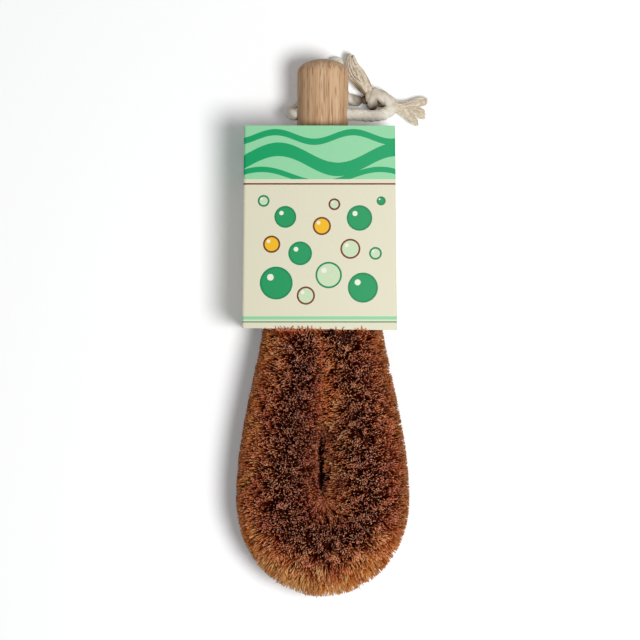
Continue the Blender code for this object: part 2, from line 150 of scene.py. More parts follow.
# Hot-dip galvanised steel: a dull grey zinc coat with soft darker and paler patches
galvanised, add = new_material("galvanised_steel")
spot = add("TexCoord").outputs["Object"]
spangle = add("TexNoise", {"Vector": spot, "Scale": 900.0, "Detail": 3.0})
zinc = add("ValToRGB", {"Fac": spangle}, ((0.35, "#84888b"), (0.65, "#b9bcbd")))
dullness = add("MapRange", {"Value": spangle, "To Min": 0.38, "To Max": 0.58})
metal = add("BsdfPrincipled", {"Base Color": zinc, "Metallic": 1.0, "Roughness": dullness})
add("OutputMaterial", {"Surface": metal})
for name in ("twist_wire_a", "twist_wire_b"):
    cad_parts[name].material_slots[0].material = galvanised


# Coir
# Stiff brown fibre from coconut husk, clamped between the wires so that it stands out all
# round them, then trimmed. It is dense and dark inside, and its cut tips are pale.
# The stem's line and the trimmed shape follow the same sizes as the construction's.

ARM_SPACING = 0.009
SPREAD_RATIO = 0.6
BEND_RADIUS = 0.0185
STEM_RUN = 0.0885
REACH_SIDE = 0.0202
REACH_TIP = 0.0250
REACH_UP = 0.0205
BEND_EYE = -0.0006
SHOULDER = 0.4
FOOT_GAP = 0.0006
TABLE_GAP = 0.0002
CARD_GAP = 0.0010
NEXT_TO_NONE = 1e-6

handle_low, handle_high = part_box("handle")
HANDLE_FOOT = handle_low.y
AXIS_HEIGHT = (handle_low.z + handle_high.z) / 2
HANDLE_RADIUS = (handle_high.z - handle_low.z) / 2
BEND_CENTRE = HANDLE_FOOT - STEM_RUN
sleeve_low, sleeve_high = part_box("card_sleeve")
SLEEVE_FOOT = sleeve_low.y
SLEEVE_DEPTH = sleeve_high.z - sleeve_low.z


def run_of(line):
    """How far along a line each of its points lies."""
    return np.concatenate([[0.0], np.cumsum(np.linalg.norm(np.diff(line, axis=0), axis=1))])


def unit(vectors):
    """The same directions, each of length 1."""
    return vectors / np.linalg.norm(vectors, axis=-1, keepdims=True)


share = np.linspace(0, 1, 200)
rise = 3 * share ** 2 - 2 * share ** 3 + SPREAD_RATIO * (share - 2 * share ** 2 + share ** 3)
arm_x = ARM_SPACING / 2 + (BEND_RADIUS - ARM_SPACING / 2) * rise
arm = np.column_stack([-arm_x, HANDLE_FOOT - STEM_RUN * share])
turn = np.linspace(0, math.pi / 2, 80)[1:]
bend = np.column_stack([-BEND_RADIUS * np.cos(turn), BEND_CENTRE - BEND_RADIUS * np.sin(turn)])
left_half = np.vstack([arm, bend])
stem_line = np.vstack([left_half, left_half[-2::-1] * (-1, 1)])
stem_along = run_of(stem_line)
stem_ahead = unit(np.gradient(stem_line, stem_along, axis=0))
STEM_LENGTH = stem_along[-1]
BEND_START = stem_along[len(arm) - 1]

# Where the two arms' fibres meet: half the width of the parting, from the bend to the sleeve.
# Where it is below zero the fibres cross over it instead, as they do everywhere deeper down.
PARTING_X = -0.0010
PARTING_Y = (-0.0950, -0.0740, -0.0714, -0.0685, -0.0560, -0.0500, -0.0440, -0.0270, 0.0150)
PARTING_HALF = (-0.0035, -0.0035, 0.0003, 0.0005, 0.0004, 0.0002, 0.0000, -0.0006, -0.0020)
PARTING_DEPTH = 0.0085
CROSSING_BELOW = -0.0006
CROSSING_HIDDEN = -0.0002
CROSSING_Y = (-0.0500, -0.0400)
OPENS_FROM = 0.004
OPENS_OVER = 0.006
TOWARDS_PARTING = 1e-3


def on_stem(place):
    """Points along the stem's middle line, and the flat direction square to it and outwards."""
    x, y = (np.interp(place, stem_along, stem_line[:, k]) for k in (0, 1))
    ahead_x, ahead_y = (np.interp(place, stem_along, stem_ahead[:, k]) for k in (0, 1))
    middle = np.column_stack([x, y, np.full(len(x), AXIS_HEIGHT)])
    return middle, unit(np.column_stack([ahead_y, -ahead_x, np.zeros(len(x))]))


def trimmed(place, angle, depth, parted=True, crossing=0.0):
    """Points at a share of the way from the stem to the trimmed surface of the coir.
    Each fibre of one arm may cross a little further into, or stop short of, the other arm's."""
    middle, outwards = on_stem(place)
    across = outwards * np.cos(angle)[:, None]
    across[:, 2] += np.sin(angle)

    # The bundle is trimmed to an oval, which is longer and less square outside the bend
    in_bend = np.clip((place - BEND_START) / (STEM_LENGTH - 2 * BEND_START), 0, 1)
    bend_share = np.sin(math.pi * in_bend) ** 2
    out = REACH_SIDE + (REACH_TIP - REACH_SIDE) * bend_share
    power = 2 - SHOULDER * bend_share * (np.cos(angle) > 0)
    reach = (np.abs(np.cos(angle) / out) ** power
             + np.abs(np.sin(angle) / REACH_UP) ** power) ** (-1 / power)

    # The parting's line wavers by up to 0.5 mm, and it closes near the stem and deeper down
    there_y = middle[:, 1] + reach * across[:, 1]
    parting_x = PARTING_X + 0.0003 * np.sin(260 * there_y) + 0.0002 * np.sin(610 * there_y + 1)
    aside = np.abs(middle[:, 0] - parting_x)
    half_gap = np.interp(there_y, PARTING_Y, PARTING_HALF) + 0.0002 * np.sin(1900 * there_y)
    opened = half_gap * np.clip((aside - OPENS_FROM) / OPENS_OVER, 0, 1)
    half_gap = np.where(half_gap > 0, opened, half_gap)
    height_there = aside * across[:, 2] / np.maximum(np.abs(across[:, 0]), NEXT_TO_NONE)
    floor_there = REACH_UP * np.sqrt(np.maximum(0, 1 - (aside / REACH_SIDE) ** 2)) - PARTING_DEPTH
    closed = np.minimum(half_gap, CROSSING_BELOW)
    half_gap = np.where(height_there < floor_there, closed, half_gap)
    half_gap = half_gap + crossing * np.interp(there_y, CROSSING_Y, (0, 1))
    if not parted:
        half_gap = CROSSING_HIDDEN
    to_parting = -across[:, 0] * np.sign(middle[:, 0])
    room = np.maximum(aside - half_gap, 0) / np.maximum(to_parting, NEXT_TO_NONE)
    reach = np.where(to_parting > TOWARDS_PARTING, np.minimum(reach, room), reach)
    inner = REACH_SIDE + (BEND_RADIUS - BEND_EYE - REACH_SIDE) * np.minimum(1, 3 * bend_share)
    reach = np.where(np.cos(angle) < 0, np.minimum(reach, inner), reach)

    # The card and the table hold the fibres in
    steepness = np.maximum(np.abs(across[:, 2]), NEXT_TO_NONE)
    in_sleeve = middle[:, 1] + reach * across[:, 1] > SLEEVE_FOOT - CARD_GAP
    to_card = (SLEEVE_DEPTH / 2 - CARD_GAP) / steepness
    to_table = (AXIS_HEIGHT - TABLE_GAP) / steepness
    reach = np.where(in_sleeve, np.minimum(reach, to_card), reach)
    reach = np.where(across[:, 2] < 0, np.minimum(reach, to_table), reach)
    return middle + (depth * reach)[:, None] * across


# Coir fibre: strong red-brown, with pale cut tips and single fibres that are nearly black or straw
# coloured. Painted shade darkens each fibre towards its root. Its skin is dull with a faint shine.
coir_finish, add = new_material("coir_fibre")
tone, depth, cut, rim = (add("Attribute", attribute_name=name).outputs["Fac"]
                         for name in ("tone", "depth", "cut", "rim"))
spot = add("TexCoord").outputs["Object"]
batch = add("TexNoise", {"Vector": spot, "Scale": 75.0, "Detail": 2.0})
batch_tone = add("MapRange", {
    "Value": batch, "From Min": 0.3, "From Max": 0.7, "To Min": -0.16, "To Max": 0.16})
mixed = add("Math", {0: tone, 1: batch_tone}, operation="ADD", use_clamp=True)
husk = add("ValToRGB", {"Fac": mixed}, (
    (0.0, "#4a1406"), (0.20, "#9c3c17"), (0.45, "#cd6026"), (0.70, "#ea8236"), (0.88, "#f5a656"),
    (1.0, "#fad08c")))
patch = add("TexNoise", {"Vector": spot, "Scale": 110.0, "Detail": 1.0})
reddish = add("MapRange", {"Value": patch, "From Min": 0.5, "From Max": 0.66, "To Max": 0.6})
retted = add("Mix", {"Factor": reddish, 6: husk, 7: "#b23a1c"}, data_type="RGBA")
# Painted light: the shafts at the rim turn ochre, for light shining through the fibres from the side
rim_light_share = add("Math", {0: rim, 1: 0.9}, operation="MULTIPLY")
rim_lit = add("Mix", {"Factor": rim_light_share, 6: retted, 7: "#c08436"}, data_type="RGBA")
# Painted shade: towards its root each fibre darkens to a near-black maroon, for the shade of the dense
# fibre round it
buried = add("MapRange", {"Value": depth, "From Min": 0.60, "From Max": 0.80})
root_shade = add("Mix", {"Factor": buried, 6: "#1c0602", 7: "#5e1602"}, data_type="RGBA")
shade = add("MapRange", {"Value": depth, "From Min": 0.82, "From Max": 0.985})
deep = add("Mix", {"Factor": shade, 6: root_shade, 7: rim_lit}, data_type="RGBA")
tipped = add("Mix", {"Factor": cut, 6: deep, 7: "#fdc6b0"}, data_type="RGBA")
skin = add("BsdfPrincipled", {"Base Color": tipped, "Roughness": 0.6, "Specular IOR Level": 0.06})
add("OutputMaterial", {"Surface": skin})

# The imported roots of the fibre, seen only as darkness between the tips: their near-black brown is
# painted shade
packed, add = new_material("coir_roots_painted_shade")
spot = add("TexCoord").outputs["Object"]
matting = add("TexNoise", {"Vector": spot, "Scale": 700.0, "Detail": 4.0, "Roughness": 0.7})
brown = add("ValToRGB", {"Fac": matting}, ((0.4, "#2a0802"), (0.65, "#521805")))
ridges = add("Bump", {"Height": matting, "Strength": 0.8, "Distance": 0.0006})
dark = add("BsdfPrincipled", {
    "Base Color": brown, "Normal": ridges, "Roughness": 0.9, "Specular IOR Level": 0.1})
add("OutputMaterial", {"Surface": dark})


def mesh_piece(name, points, corners, sizes, material):
    """A piece of the brush, from points and from one row of face corners and each face's size."""
    mesh = bpy.data.meshes.new(name)
    mesh.vertices.add(len(points))
    mesh.vertices.foreach_set("co", np.asarray(points, np.float32).ravel())
    mesh.loops.add(len(corners))
    mesh.loops.foreach_set("vertex_index", np.asarray(corners, np.int32))
    mesh.polygons.add(len(sizes))
    starts = np.concatenate([[0], np.cumsum(sizes)[:-1]])
    mesh.polygons.foreach_set("loop_start", np.asarray(starts, np.int32))
    mesh.update(calc_edges=True)
    mesh.polygons.foreach_set("use_smooth", np.ones(len(sizes), bool))
    mesh.materials.append(material)
    piece = bpy.data.objects.new(name, mesh)
    bpy.context.collection.objects.link(piece)
    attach(piece, "brush")
    return piece


def tube_faces(rings, sides, clockwise=True):
    """Face corners and sizes of a closed tube. Its points are given ring by ring, and they go
    round each ring clockwise, or the other way, as seen from the first ring."""
    low = np.arange((rings - 1) * sides)[:, None]
    after = low - low % sides + (low + 1) % sides
    quads = np.hstack([low, after, after + sides, low + sides])
    caps = np.array([np.arange(sides)[::-1], (rings - 1) * sides + np.arange(sides)])
    if not clockwise:
        quads, caps = quads[:, (0, 3, 2, 1)], caps[:, ::-1]
    return np.concatenate([quads.ravel(), caps.ravel()]), [4] * len(quads) + [sides, sides]


def thin_tubes(lines, radii, sides, rng):
    """Closed tubes along lines of shape (count, rings, 3): points, corners and face sizes."""
    count, rings = lines.shape[:2]
    ahead = unit(lines[:, -1] - lines[:, 0])
    side_a = unit(np.cross(ahead, rng.normal(size=(count, 3))))
    side_b = np.cross(ahead, side_a)
    round_the = 2 * math.pi * np.arange(sides) / sides
    ring = (np.cos(round_the)[:, None] * side_a[:, None, :]
            + np.sin(round_the)[:, None] * side_b[:, None, :])
    points = lines[:, :, None, :] + radii[:, :, None, None] * ring[:, None, :, :]
    corners, sizes = tube_faces(rings, sides)
    shift = np.arange(count)[:, None] * rings * sides
    return points.reshape(-1, 3), (corners + shift).ravel(), np.tile(sizes, count)


def add_values(piece, name, values):
    """A number for each point of the piece, for its material to read."""
    layer = piece.data.attributes.new(name, "FLOAT", "POINT")
    layer.data.foreach_set("value", np.asarray(values, np.float32).ravel())


# How the fibres grow. Flat is 1 for those that stand out to the side of the head, and inner is 1
# for those that stand in towards the parting.
FIBRES_PER_METRE = 250000
BEND_EXTRA = 0.9
SURFACE_SHARE = 0.42
SURFACE_SHARE_FLAT = 0.2
TRIM_SPREAD = 0.007
BURIED_LENGTH = (0.82, 0.985)
LONG_SHARE = 0.004
LONG_LENGTH = (1.005, 1.035)
FIBRE_RADIUS = (0.00015, 0.00025)
FIBRE_SIDES = 3
FIBRE_STATIONS = np.array([0.0, 0.45, 0.93, 1.0])
FIBRE_ROOT = 0.42
FIBRE_LEAN = 0.0008
FIBRE_BOW = 0.0006
FIBRE_CROSSING = 0.0014
SHORTEST_FIBRE = 0.002
CLUMP_SIZE = 0.0014
CLUMP_PULL = 0.55
CLUMP_TABLE = (512, 256)
DRIFT_SIZE = 0.008
DRIFT_WAVES = 7
DRIFT = 0.0008
NICK_FROM_HANDLE = 0.0362
NICK_HALF_WIDTH = 0.0011
SEAM_X = 0.0038
SEAM_HALF_WIDTH = 0.0085
SEAM_Y = (-0.048, -0.036)
SLIT_HALF_WIDTH = 0.0018
SLIT_EDGE_Y = (-0.0720, -0.0700, -0.0460, -0.0380)
SLIT_WALLS_Y = (-0.0715, -0.0695, -0.0450, -0.0350)

# Hollows where the fibres stand lower: middle, half width, half length, and how much lower
HOLLOWS = (
    (0.0027, -0.0026, 0.0028, 0.0016, 0.30), (0.0111, -0.0034, 0.0038, 0.0030, 0.30),
    (-0.0113, -0.0139, 0.0035, 0.0095, 0.03), (0.0098, -0.0205, 0.0040, 0.0050, 0.03),
    (-0.0100, -0.0870, 0.0070, 0.0060, 0.03), (0.0110, -0.0920, 0.0040, 0.0030, 0.04),
)


def drift(place, angle):
    """Slow changes over the coir, about 1 at most: lean along the stem, lean round it, hollows."""
    waves = np.random.default_rng(33)
    fields = []
    for _ in range(3):
        total = np.zeros(len(place))
        for _ in range(DRIFT_WAVES):
            per_metre = 2 * math.pi / DRIFT_SIZE * waves.uniform(0.4, 1.5) * waves.choice((-1, 1))
            per_turn = waves.integers(1, 16)
            total += np.sin(per_metre * place + per_turn * angle + waves.uniform(0, 6.3))
        fields.append(total / 2)
    return fields


def near(value, middle, half_width):
    """1 at the middle of a soft spot or line, falling to 0 on both sides."""
    return np.exp(-((value - middle) / half_width) ** 2)


def grow_coir(name, start, end, rng):
    """The fibres clamped along one stretch of the stem, each with a slight bend and lean."""
    in_bend = BEND_START < (start + end) / 2 < STEM_LENGTH - BEND_START
    count = round((end - start) * FIBRES_PER_METRE * (1 + BEND_EXTRA * in_bend))
    place = rng.uniform(start, end, count)
    angle = rng.uniform(0, 2 * math.pi, count)
    middle, outwards = on_stem(place)
    flat = np.clip(np.cos(angle), 0, 1) ** 2
    inner = np.clip(-1.4 * np.cos(angle), 0, 1)
    at_surface = rng.random(count) < SURFACE_SHARE + SURFACE_SHARE_FLAT * flat
    length = np.where(at_surface, 1 - rng.exponential(TRIM_SPREAD, count),
                      rng.uniform(*BURIED_LENGTH, count))
    length = np.where(rng.random(count) < LONG_SHARE, rng.uniform(*LONG_LENGTH, count), length)

    # The tips draw together in clumps and lean a little this way and that
    cell_place = np.floor(place / CLUMP_SIZE).astype(int)
    cell_angle = np.floor(angle * REACH_SIDE / CLUMP_SIZE).astype(int)
    wobble = np.random.default_rng(91).uniform(0.1, 0.9, (*CLUMP_TABLE, 3))
    wobble = wobble[cell_place % CLUMP_TABLE[0], cell_angle]
    clump_place = (cell_place + wobble[:, 0]) * CLUMP_SIZE
    clump_angle = (cell_angle + wobble[:, 1]) * CLUMP_SIZE / REACH_SIDE
    drift_place, drift_angle, hollow = drift(place, angle)
    pull = CLUMP_PULL * (1 - 0.75 * flat)
    tip_place = place + pull * (clump_place - place) + DRIFT * drift_place
    tip_place = tip_place + rng.normal(0, FIBRE_LEAN, count)
    tip_place = np.clip(tip_place, FOOT_GAP, STEM_LENGTH - FOOT_GAP)
    tip_angle = angle + pull * (clump_angle - angle) + DRIFT * drift_angle / REACH_SIDE
    tip_angle += rng.normal(0, FIBRE_LEAN / REACH_SIDE, count)

    # Whole patches stand a little lower, as do the fibres beside the slit and at the nick
    patches = 0.018 * np.clip(hollow, 0, 2) + 0.02 * (wobble[:, 2] - 0.1)
    length = length - (1 - 0.8 * flat) * patches
    beside_slit = np.interp(middle[:, 1], SLIT_WALLS_Y, (0, 1, 1, 0.3))
    length = length - 0.09 * rng.random(count) * inner * beside_slit
    nick = near(place, STEM_LENGTH - NICK_FROM_HANDLE, NICK_HALF_WIDTH)
    length = length - 0.10 * nick * flat
    crossing = rng.normal(0, FIBRE_CROSSING, count)
    root = trimmed(place, angle, np.full(count, FIBRE_ROOT))
    tip = trimmed(tip_place, tip_angle, length, crossing=crossing)
    for x, y, half_x, half_y, lower in HOLLOWS:
        spot = near(tip[:, 0], x, half_x) * near(tip[:, 1], y, half_y)
        length = length - lower * spot * (tip[:, 2] > AXIS_HEIGHT)
    tip = trimmed(tip_place, tip_angle, length, crossing=crossing)
    tip[:, 2] = np.maximum(tip[:, 2], TABLE_GAP)

    # Fibres that stand out to the side show their golden shafts, most of all round the bend: partly
    # their own colour, partly painted light shining through them. Painted shade darkens the right
    # arm's side, and painted light makes the tops paler, most of all on the right arm. The seam and
    # the walls of the slit are paler too, and painted shade darkens the slit's edge. Each number is a
    # share of the husk's colours.
    facing_tip = flat ** 0.7 * np.clip(-outwards[:, 1], 0, 1)
    near_card = np.clip(1 - np.minimum(place, STEM_LENGTH - place) / 0.05, 0, 1)
    on_right = np.clip(outwards[:, 0], 0, 1)
    tone_with_painted_light = (0.02 - 0.48 * on_right) * flat + 0.50 * facing_tip + 0.10 * near_card
    tone_with_painted_light += (0.05 + 0.10 * on_right) * np.clip(np.sin(angle), 0, 1) ** 2
    tone_with_painted_light += (0.06 + 0.14 * on_right) * inner * beside_slit
    on_seam = (near(tip[:, 0], SEAM_X, SEAM_HALF_WIDTH) * (tip[:, 2] > AXIS_HEIGHT)
               * np.interp(tip[:, 1], SEAM_Y, (0, 1)))
    by_slit = (near(tip[:, 0], PARTING_X, SLIT_HALF_WIDTH)
               * np.interp(tip[:, 1], SLIT_EDGE_Y, (0, 1, 1, 0)))
    own_tone = rng.beta(2.2, 2.4, count)
    tone_with_painted_light = tone_with_painted_light + on_seam * (0.32 - 0.5 * own_tone) - 0.08 * by_slit + own_tone
    depth_seen = length + 0.09 * on_seam - 0.03 * by_slit

    # Round the bend the fibres fan out, so more of them grow outwards than inwards
    kept = (1 + BEND_EXTRA * np.clip(np.cos(angle), 0, 1)) * (1 - 0.6 * inner) / (1 + BEND_EXTRA)
    crowded = in_bend & (rng.random(count) > kept)
    stays = (np.linalg.norm(tip - root, axis=1) > SHORTEST_FIBRE) & ~crowded
    root, tip, depth_seen, flat, facing_tip, tone_with_painted_light, inner, on_right = (
        values[stays]
        for values in (root, tip, depth_seen, flat, facing_tip, tone_with_painted_light, inner, on_right))
    count = len(root)
    rings = len(FIBRE_STATIONS)
    t = FIBRE_STATIONS[None, :, None]
    bow = rng.normal(0, FIBRE_BOW, (count, 1, 3))
    lines = root[:, None, :] * (1 - t) + tip[:, None, :] * t + bow * 4 * t * (1 - t)
    lines[:, :, 2] = np.maximum(lines[:, :, 2], TABLE_GAP)
    thickness = rng.uniform(*FIBRE_RADIUS, (count, 1)) * (1.1 - 0.25 * FIBRE_STATIONS)
    piece = mesh_piece(name, *thin_tubes(lines, thickness, FIBRE_SIDES, rng), coir_finish)

    # The depth along each fibre sets its painted shade. Painted light lifts the shafts at the side,
    # round the bend and on the right arm's tops, and painted shade darkens the fibres towards the
    # parting.
    deep = FIBRE_ROOT + (depth_seen[:, None] - FIBRE_ROOT) * FIBRE_STATIONS
    painted_light_shift = 0.02 * flat + 0.09 * facing_tip - 0.02 * inner + 0.014 * on_right * (1 - flat)
    ends = np.zeros((count, rings))
    ends[:, -1] = rng.uniform(0.1, 0.9, count) * (1 - 0.75 * flat) * (1 - 0.5 * inner)
    # Painted light: the fibres standing out to the side turn ochre towards their tips
    rim_light = (flat ** 2 * rng.uniform(0.1, 0.7, count))[:, None] * (0.0, 0.3, 1.1, 1.5)
    add_values(piece, "depth", np.repeat(deep + painted_light_shift[:, None], FIBRE_SIDES, axis=1))
    add_values(piece, "tone", np.repeat(tone_with_painted_light, rings * FIBRE_SIDES))
    add_values(piece, "cut", np.repeat(ends, FIBRE_SIDES, axis=1))
    add_values(piece, "rim", np.repeat(rim_light, FIBRE_SIDES, axis=1))
    return piece


rng = np.random.default_rng(20)
arm_cuts = [FOOT_GAP, *np.linspace(HANDLE_FOOT - SLEEVE_FOOT, BEND_START, 6)]
tip_cuts = np.linspace(BEND_START, STEM_LENGTH - BEND_START, 5)
for number, (low, high) in enumerate(zip(arm_cuts, arm_cuts[1:]), start=1):
    left = grow_coir(f"coir_fibres_left_{number}", low, high, rng)
    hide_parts(f"coir_left_{number}")
    right = grow_coir(f"coir_fibres_right_{number}", STEM_LENGTH - high, STEM_LENGTH - low, rng)
    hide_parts(f"coir_right_{number}")
for number, (low, high) in enumerate(zip(tip_cuts, tip_cuts[1:]), start=1):
    tuft = grow_coir(f"coir_fibres_tip_{number}", low, high, rng)
    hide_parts(f"coir_tip_{number}")

# Loose fibres spring up over the foot of the card, most of them on the left
STRAY_COUNT = 100
STRAY_LEFT = -0.0206
STRAY_SPAN = 0.0398
stray_x = STRAY_LEFT + STRAY_SPAN * rng.random(STRAY_COUNT) ** 1.25
for x, _, half_x, _, _ in HOLLOWS[:2]:
    stray_x = np.where(np.abs(stray_x - x) < 0.8 * half_x, stray_x - 0.0180, stray_x)
from_arm = (np.abs(stray_x) - ARM_SPACING / 2) / REACH_SIDE
stray_foot = AXIS_HEIGHT + REACH_UP * np.sqrt(1 - np.clip(from_arm, 0, 0.95) ** 2) - 0.0045
stray_root = SLEEVE_FOOT - rng.uniform(0.0008, 0.0030, STRAY_COUNT)
stray_root -= 0.004 * np.clip(from_arm, 0, 1) ** 2 * rng.random(STRAY_COUNT)
stray_turn = SLEEVE_FOOT - rng.uniform(0.0005, 0.0013, STRAY_COUNT)
stray_end = SLEEVE_FOOT - 0.0003 + np.minimum(rng.exponential(0.0006, STRAY_COUNT), 0.0017)
stray_top = SLEEVE_DEPTH + rng.uniform(0.0, 0.0004, STRAY_COUNT)
stray_lift = SLEEVE_DEPTH + rng.uniform(0.0006, 0.0014, STRAY_COUNT)
lean_x = rng.normal(0, 0.0015, STRAY_COUNT)
stray_lines = np.stack([
    np.column_stack([stray_x - lean_x, stray_root, stray_foot]),
    np.column_stack([stray_x - 0.4 * lean_x, 0.6 * stray_root + 0.4 * stray_turn - 0.0003,
                     0.5 * (stray_foot + stray_top)]),
    np.column_stack([stray_x + 0.2 * lean_x, stray_turn, stray_top]),
    np.column_stack([stray_x + lean_x, stray_end, stray_lift])], axis=1)
stray_radii = rng.uniform(*FIBRE_RADIUS, (STRAY_COUNT, 1)) * np.array([1.0, 1.0, 0.95, 0.85])
strays = mesh_piece("coir_stray_fibres",
                    *thin_tubes(stray_lines, stray_radii, FIBRE_SIDES, rng), coir_finish)
stray_deep = np.tile((0.74, 0.84, 0.93, 1.0), (STRAY_COUNT, 1))
stray_tone = rng.uniform(0.05, 0.8, STRAY_COUNT)[:, None] * np.ones(4)
stray_cut = np.zeros((STRAY_COUNT, 4))
stray_cut[:, -1] = rng.uniform(0.0, 0.7, STRAY_COUNT)
for label, values in (("depth", stray_deep), ("tone", stray_tone), ("cut", stray_cut)):
    add_values(strays, label, np.repeat(values, FIBRE_SIDES, axis=1))

# The core of packed roots, with its two ends drawn in a little. On the side towards the other
# arm it fills nearly all the room, so that no light comes through between the arms.
CORE_DEPTH = 0.62
CORE_DEPTH_INSIDE = 0.99
CORE_SIDES = 36
CORE_RINGS = 110
CORE_END = 0.96
core_foot = np.array([FOOT_GAP, FOOT_GAP + 0.0004])
core_run = np.linspace(0.003, STEM_LENGTH - 0.003, CORE_RINGS)
core_places = np.concatenate([core_foot, core_run, STEM_LENGTH - core_foot[::-1]])
core_angles = 2 * math.pi * np.arange(CORE_SIDES) / CORE_SIDES
grid_place = np.repeat(core_places, CORE_SIDES)
grid_angle = np.tile(core_angles, len(core_places))
towards_other_arm = np.maximum(0, -np.cos(grid_angle)) ** 6
core_points = trimmed(grid_place, grid_angle, parted=False,
                      depth=CORE_DEPTH + (CORE_DEPTH_INSIDE - CORE_DEPTH) * towards_other_arm)
for ring in (core_points[:CORE_SIDES], core_points[-CORE_SIDES:]):
    ring[:] = ring.mean(axis=0) + CORE_END * (ring - ring.mean(axis=0))
faces = tube_faces(len(core_places), CORE_SIDES, clockwise=False)
coir_core = mesh_piece("coir_core", core_points, *faces, packed)


# Handle
# A rod of rubberwood, turned and sanded but not varnished, with a domed end. A hole is bored
# across it for the cord, and two blind holes in its foot hold the ends of the twisted stem.

HANDLE_FACETS = 96
DOME_HEIGHT = 0.0062
DOME_STEPS = 14
FOOT_CHAMFER = 0.0009
CORD_HOLE_RADIUS = 0.0036
CORD_HOLE_Y = handle_high.y - 0.024
HOLE_EDGE_RADII = (CORD_HOLE_RADIUS - 0.00035, CORD_HOLE_RADIUS + 0.0014)
HOLE_EDGE_DEPTH = 0.0040
SOCKET_RADIUS = 0.00235
SOCKET_DEPTH = 0.022


def only(piece):
    """Selects one piece alone and makes it the active one."""
    bpy.ops.object.select_all(action="DESELECT")
    piece.select_set(True)
    bpy.context.view_layer.objects.active = piece


def open_end(piece, towards):
    """Opens a piece for editing with only the faces selected that look along Y, one way."""
    bpy.ops.object.mode_set(mode="EDIT")
    bpy.ops.mesh.select_all(action="DESELECT")
    bpy.ops.object.mode_set(mode="OBJECT")
    for face in piece.data.polygons:
        face.select = face.normal.y * towards > 0.9
    bpy.ops.object.mode_set(mode="EDIT")


bpy.ops.object.select_all(action="DESELECT")
bpy.ops.mesh.primitive_cylinder_add(
    vertices=HANDLE_FACETS, radius=HANDLE_RADIUS, depth=handle_high.y - HANDLE_FOOT - DOME_HEIGHT,
    location=(0, (HANDLE_FOOT + handle_high.y - DOME_HEIGHT) / 2, AXIS_HEIGHT),
    rotation=(-math.pi / 2, math.pi / HANDLE_FACETS, 0))
handle = bpy.context.object
handle.name = "handle_wood"
bpy.ops.object.transform_apply(location=True, rotation=True, scale=True)

open_end(handle, 1)
before = (HANDLE_RADIUS, 0.0)
for step in range(1, DOME_STEPS):
    rise_angle = math.pi / 2 * step / DOME_STEPS
    now = (HANDLE_RADIUS * math.cos(rise_angle), DOME_HEIGHT * math.sin(rise_angle))
    bpy.ops.mesh.inset(thickness=before[0] - now[0], depth=now[1] - before[1])
    before = now
bpy.ops.mesh.poke(offset=DOME_HEIGHT - before[1])
bpy.ops.object.mode_set(mode="OBJECT")
open_end(handle, -1)
bpy.ops.mesh.bevel(offset=FOOT_CHAMFER, segments=3, affect="EDGES")
bpy.ops.object.mode_set(mode="OBJECT")

drills = []
bpy.ops.mesh.primitive_cylinder_add(
    vertices=48, radius=CORD_HOLE_RADIUS, depth=3 * HANDLE_RADIUS,
    location=(0, CORD_HOLE_Y, AXIS_HEIGHT), rotation=(0, math.pi / 2, 0))
drills.append(bpy.context.object)
for side in (-1, 1):
    bpy.ops.mesh.primitive_cone_add(
        vertices=44, radius1=HOLE_EDGE_RADII[0], radius2=HOLE_EDGE_RADII[1], depth=HOLE_EDGE_DEPTH,
        location=(side * (HANDLE_RADIUS - 0.0002), CORD_HOLE_Y, AXIS_HEIGHT),
        rotation=(0, side * math.pi / 2, 0))
    drills.append(bpy.context.object)
    bpy.ops.mesh.primitive_cylinder_add(
        vertices=32, radius=SOCKET_RADIUS, depth=2 * SOCKET_DEPTH,
        location=(side * ARM_SPACING / 2, HANDLE_FOOT, AXIS_HEIGHT), rotation=(math.pi / 2, 0, 0))
    drills.append(bpy.context.object)
for drill in drills:
    only(handle)
    boring = handle.modifiers.new("boring", "BOOLEAN")
    boring.operation = "DIFFERENCE"
    boring.object = drill
    bpy.ops.object.modifier_apply(modifier=boring.name)
    bpy.data.objects.remove(drill, do_unlink=True)
only(handle)
bpy.ops.object.mode_set(mode="EDIT")
bpy.ops.mesh.select_all(action="SELECT")
bpy.ops.mesh.remove_doubles(threshold=0.000002)
bpy.ops.mesh.dissolve_degenerate(threshold=0.000002)
bpy.ops.object.mode_set(mode="OBJECT")
bpy.ops.object.shade_smooth_by_angle(angle=math.radians(32))

# Rubberwood: pale tan with a pink cast. Growth shows as bands 1 to 3 mm wide along the rod,
# and open vessels as fine dark dashes, which turn to dots on the end grain.
rubberwood, add = new_material("rubberwood_sanded")
coordinates = add("TexCoord")
spot = coordinates.outputs["Object"]
along_grain = add("Mapping", {"Vector": spot, "Scale": (560.0, 9.0, 110.0)})
bands = add("TexNoise", {
    "Vector": along_grain, "Scale": 1.0, "Detail": 5.0, "Roughness": 0.62, "Distortion": 0.25})
tan = add("ValToRGB", {"Fac": bands}, (
    (0.28, "#a57b59"), (0.42, "#c39a73"), (0.55, "#d6b18a"), (0.72, "#e6c6a3")))
vessel_grid = add("Mapping", {"Vector": spot, "Scale": (2000.0, 110.0, 600.0)})
vessels = add("TexNoise", {"Vector": vessel_grid, "Scale": 1.0, "Detail": 1.0})
dashes = add("MapRange", {"Value": vessels, "From Min": 0.56, "From Max": 0.68, "To Max": 0.6})
pored = add("Mix", {"Factor": dashes, 6: tan, 7: "#7c5233"}, data_type="RGBA")
thin_grain = add("Mapping", {
    "Vector": spot, "Location": (3.0, 1.0, 7.0), "Scale": (1050.0, 14.0, 190.0)})
rings = add("TexNoise", {"Vector": thin_grain, "Scale": 1.0, "Detail": 2.0})
thin_lines = add("MapRange", {"Value": rings, "From Min": 0.54, "From Max": 0.70, "To Max": 0.6})
lined = add("Mix", {"Factor": thin_lines, 6: pored, 7: "#a8764c"}, data_type="RGBA")
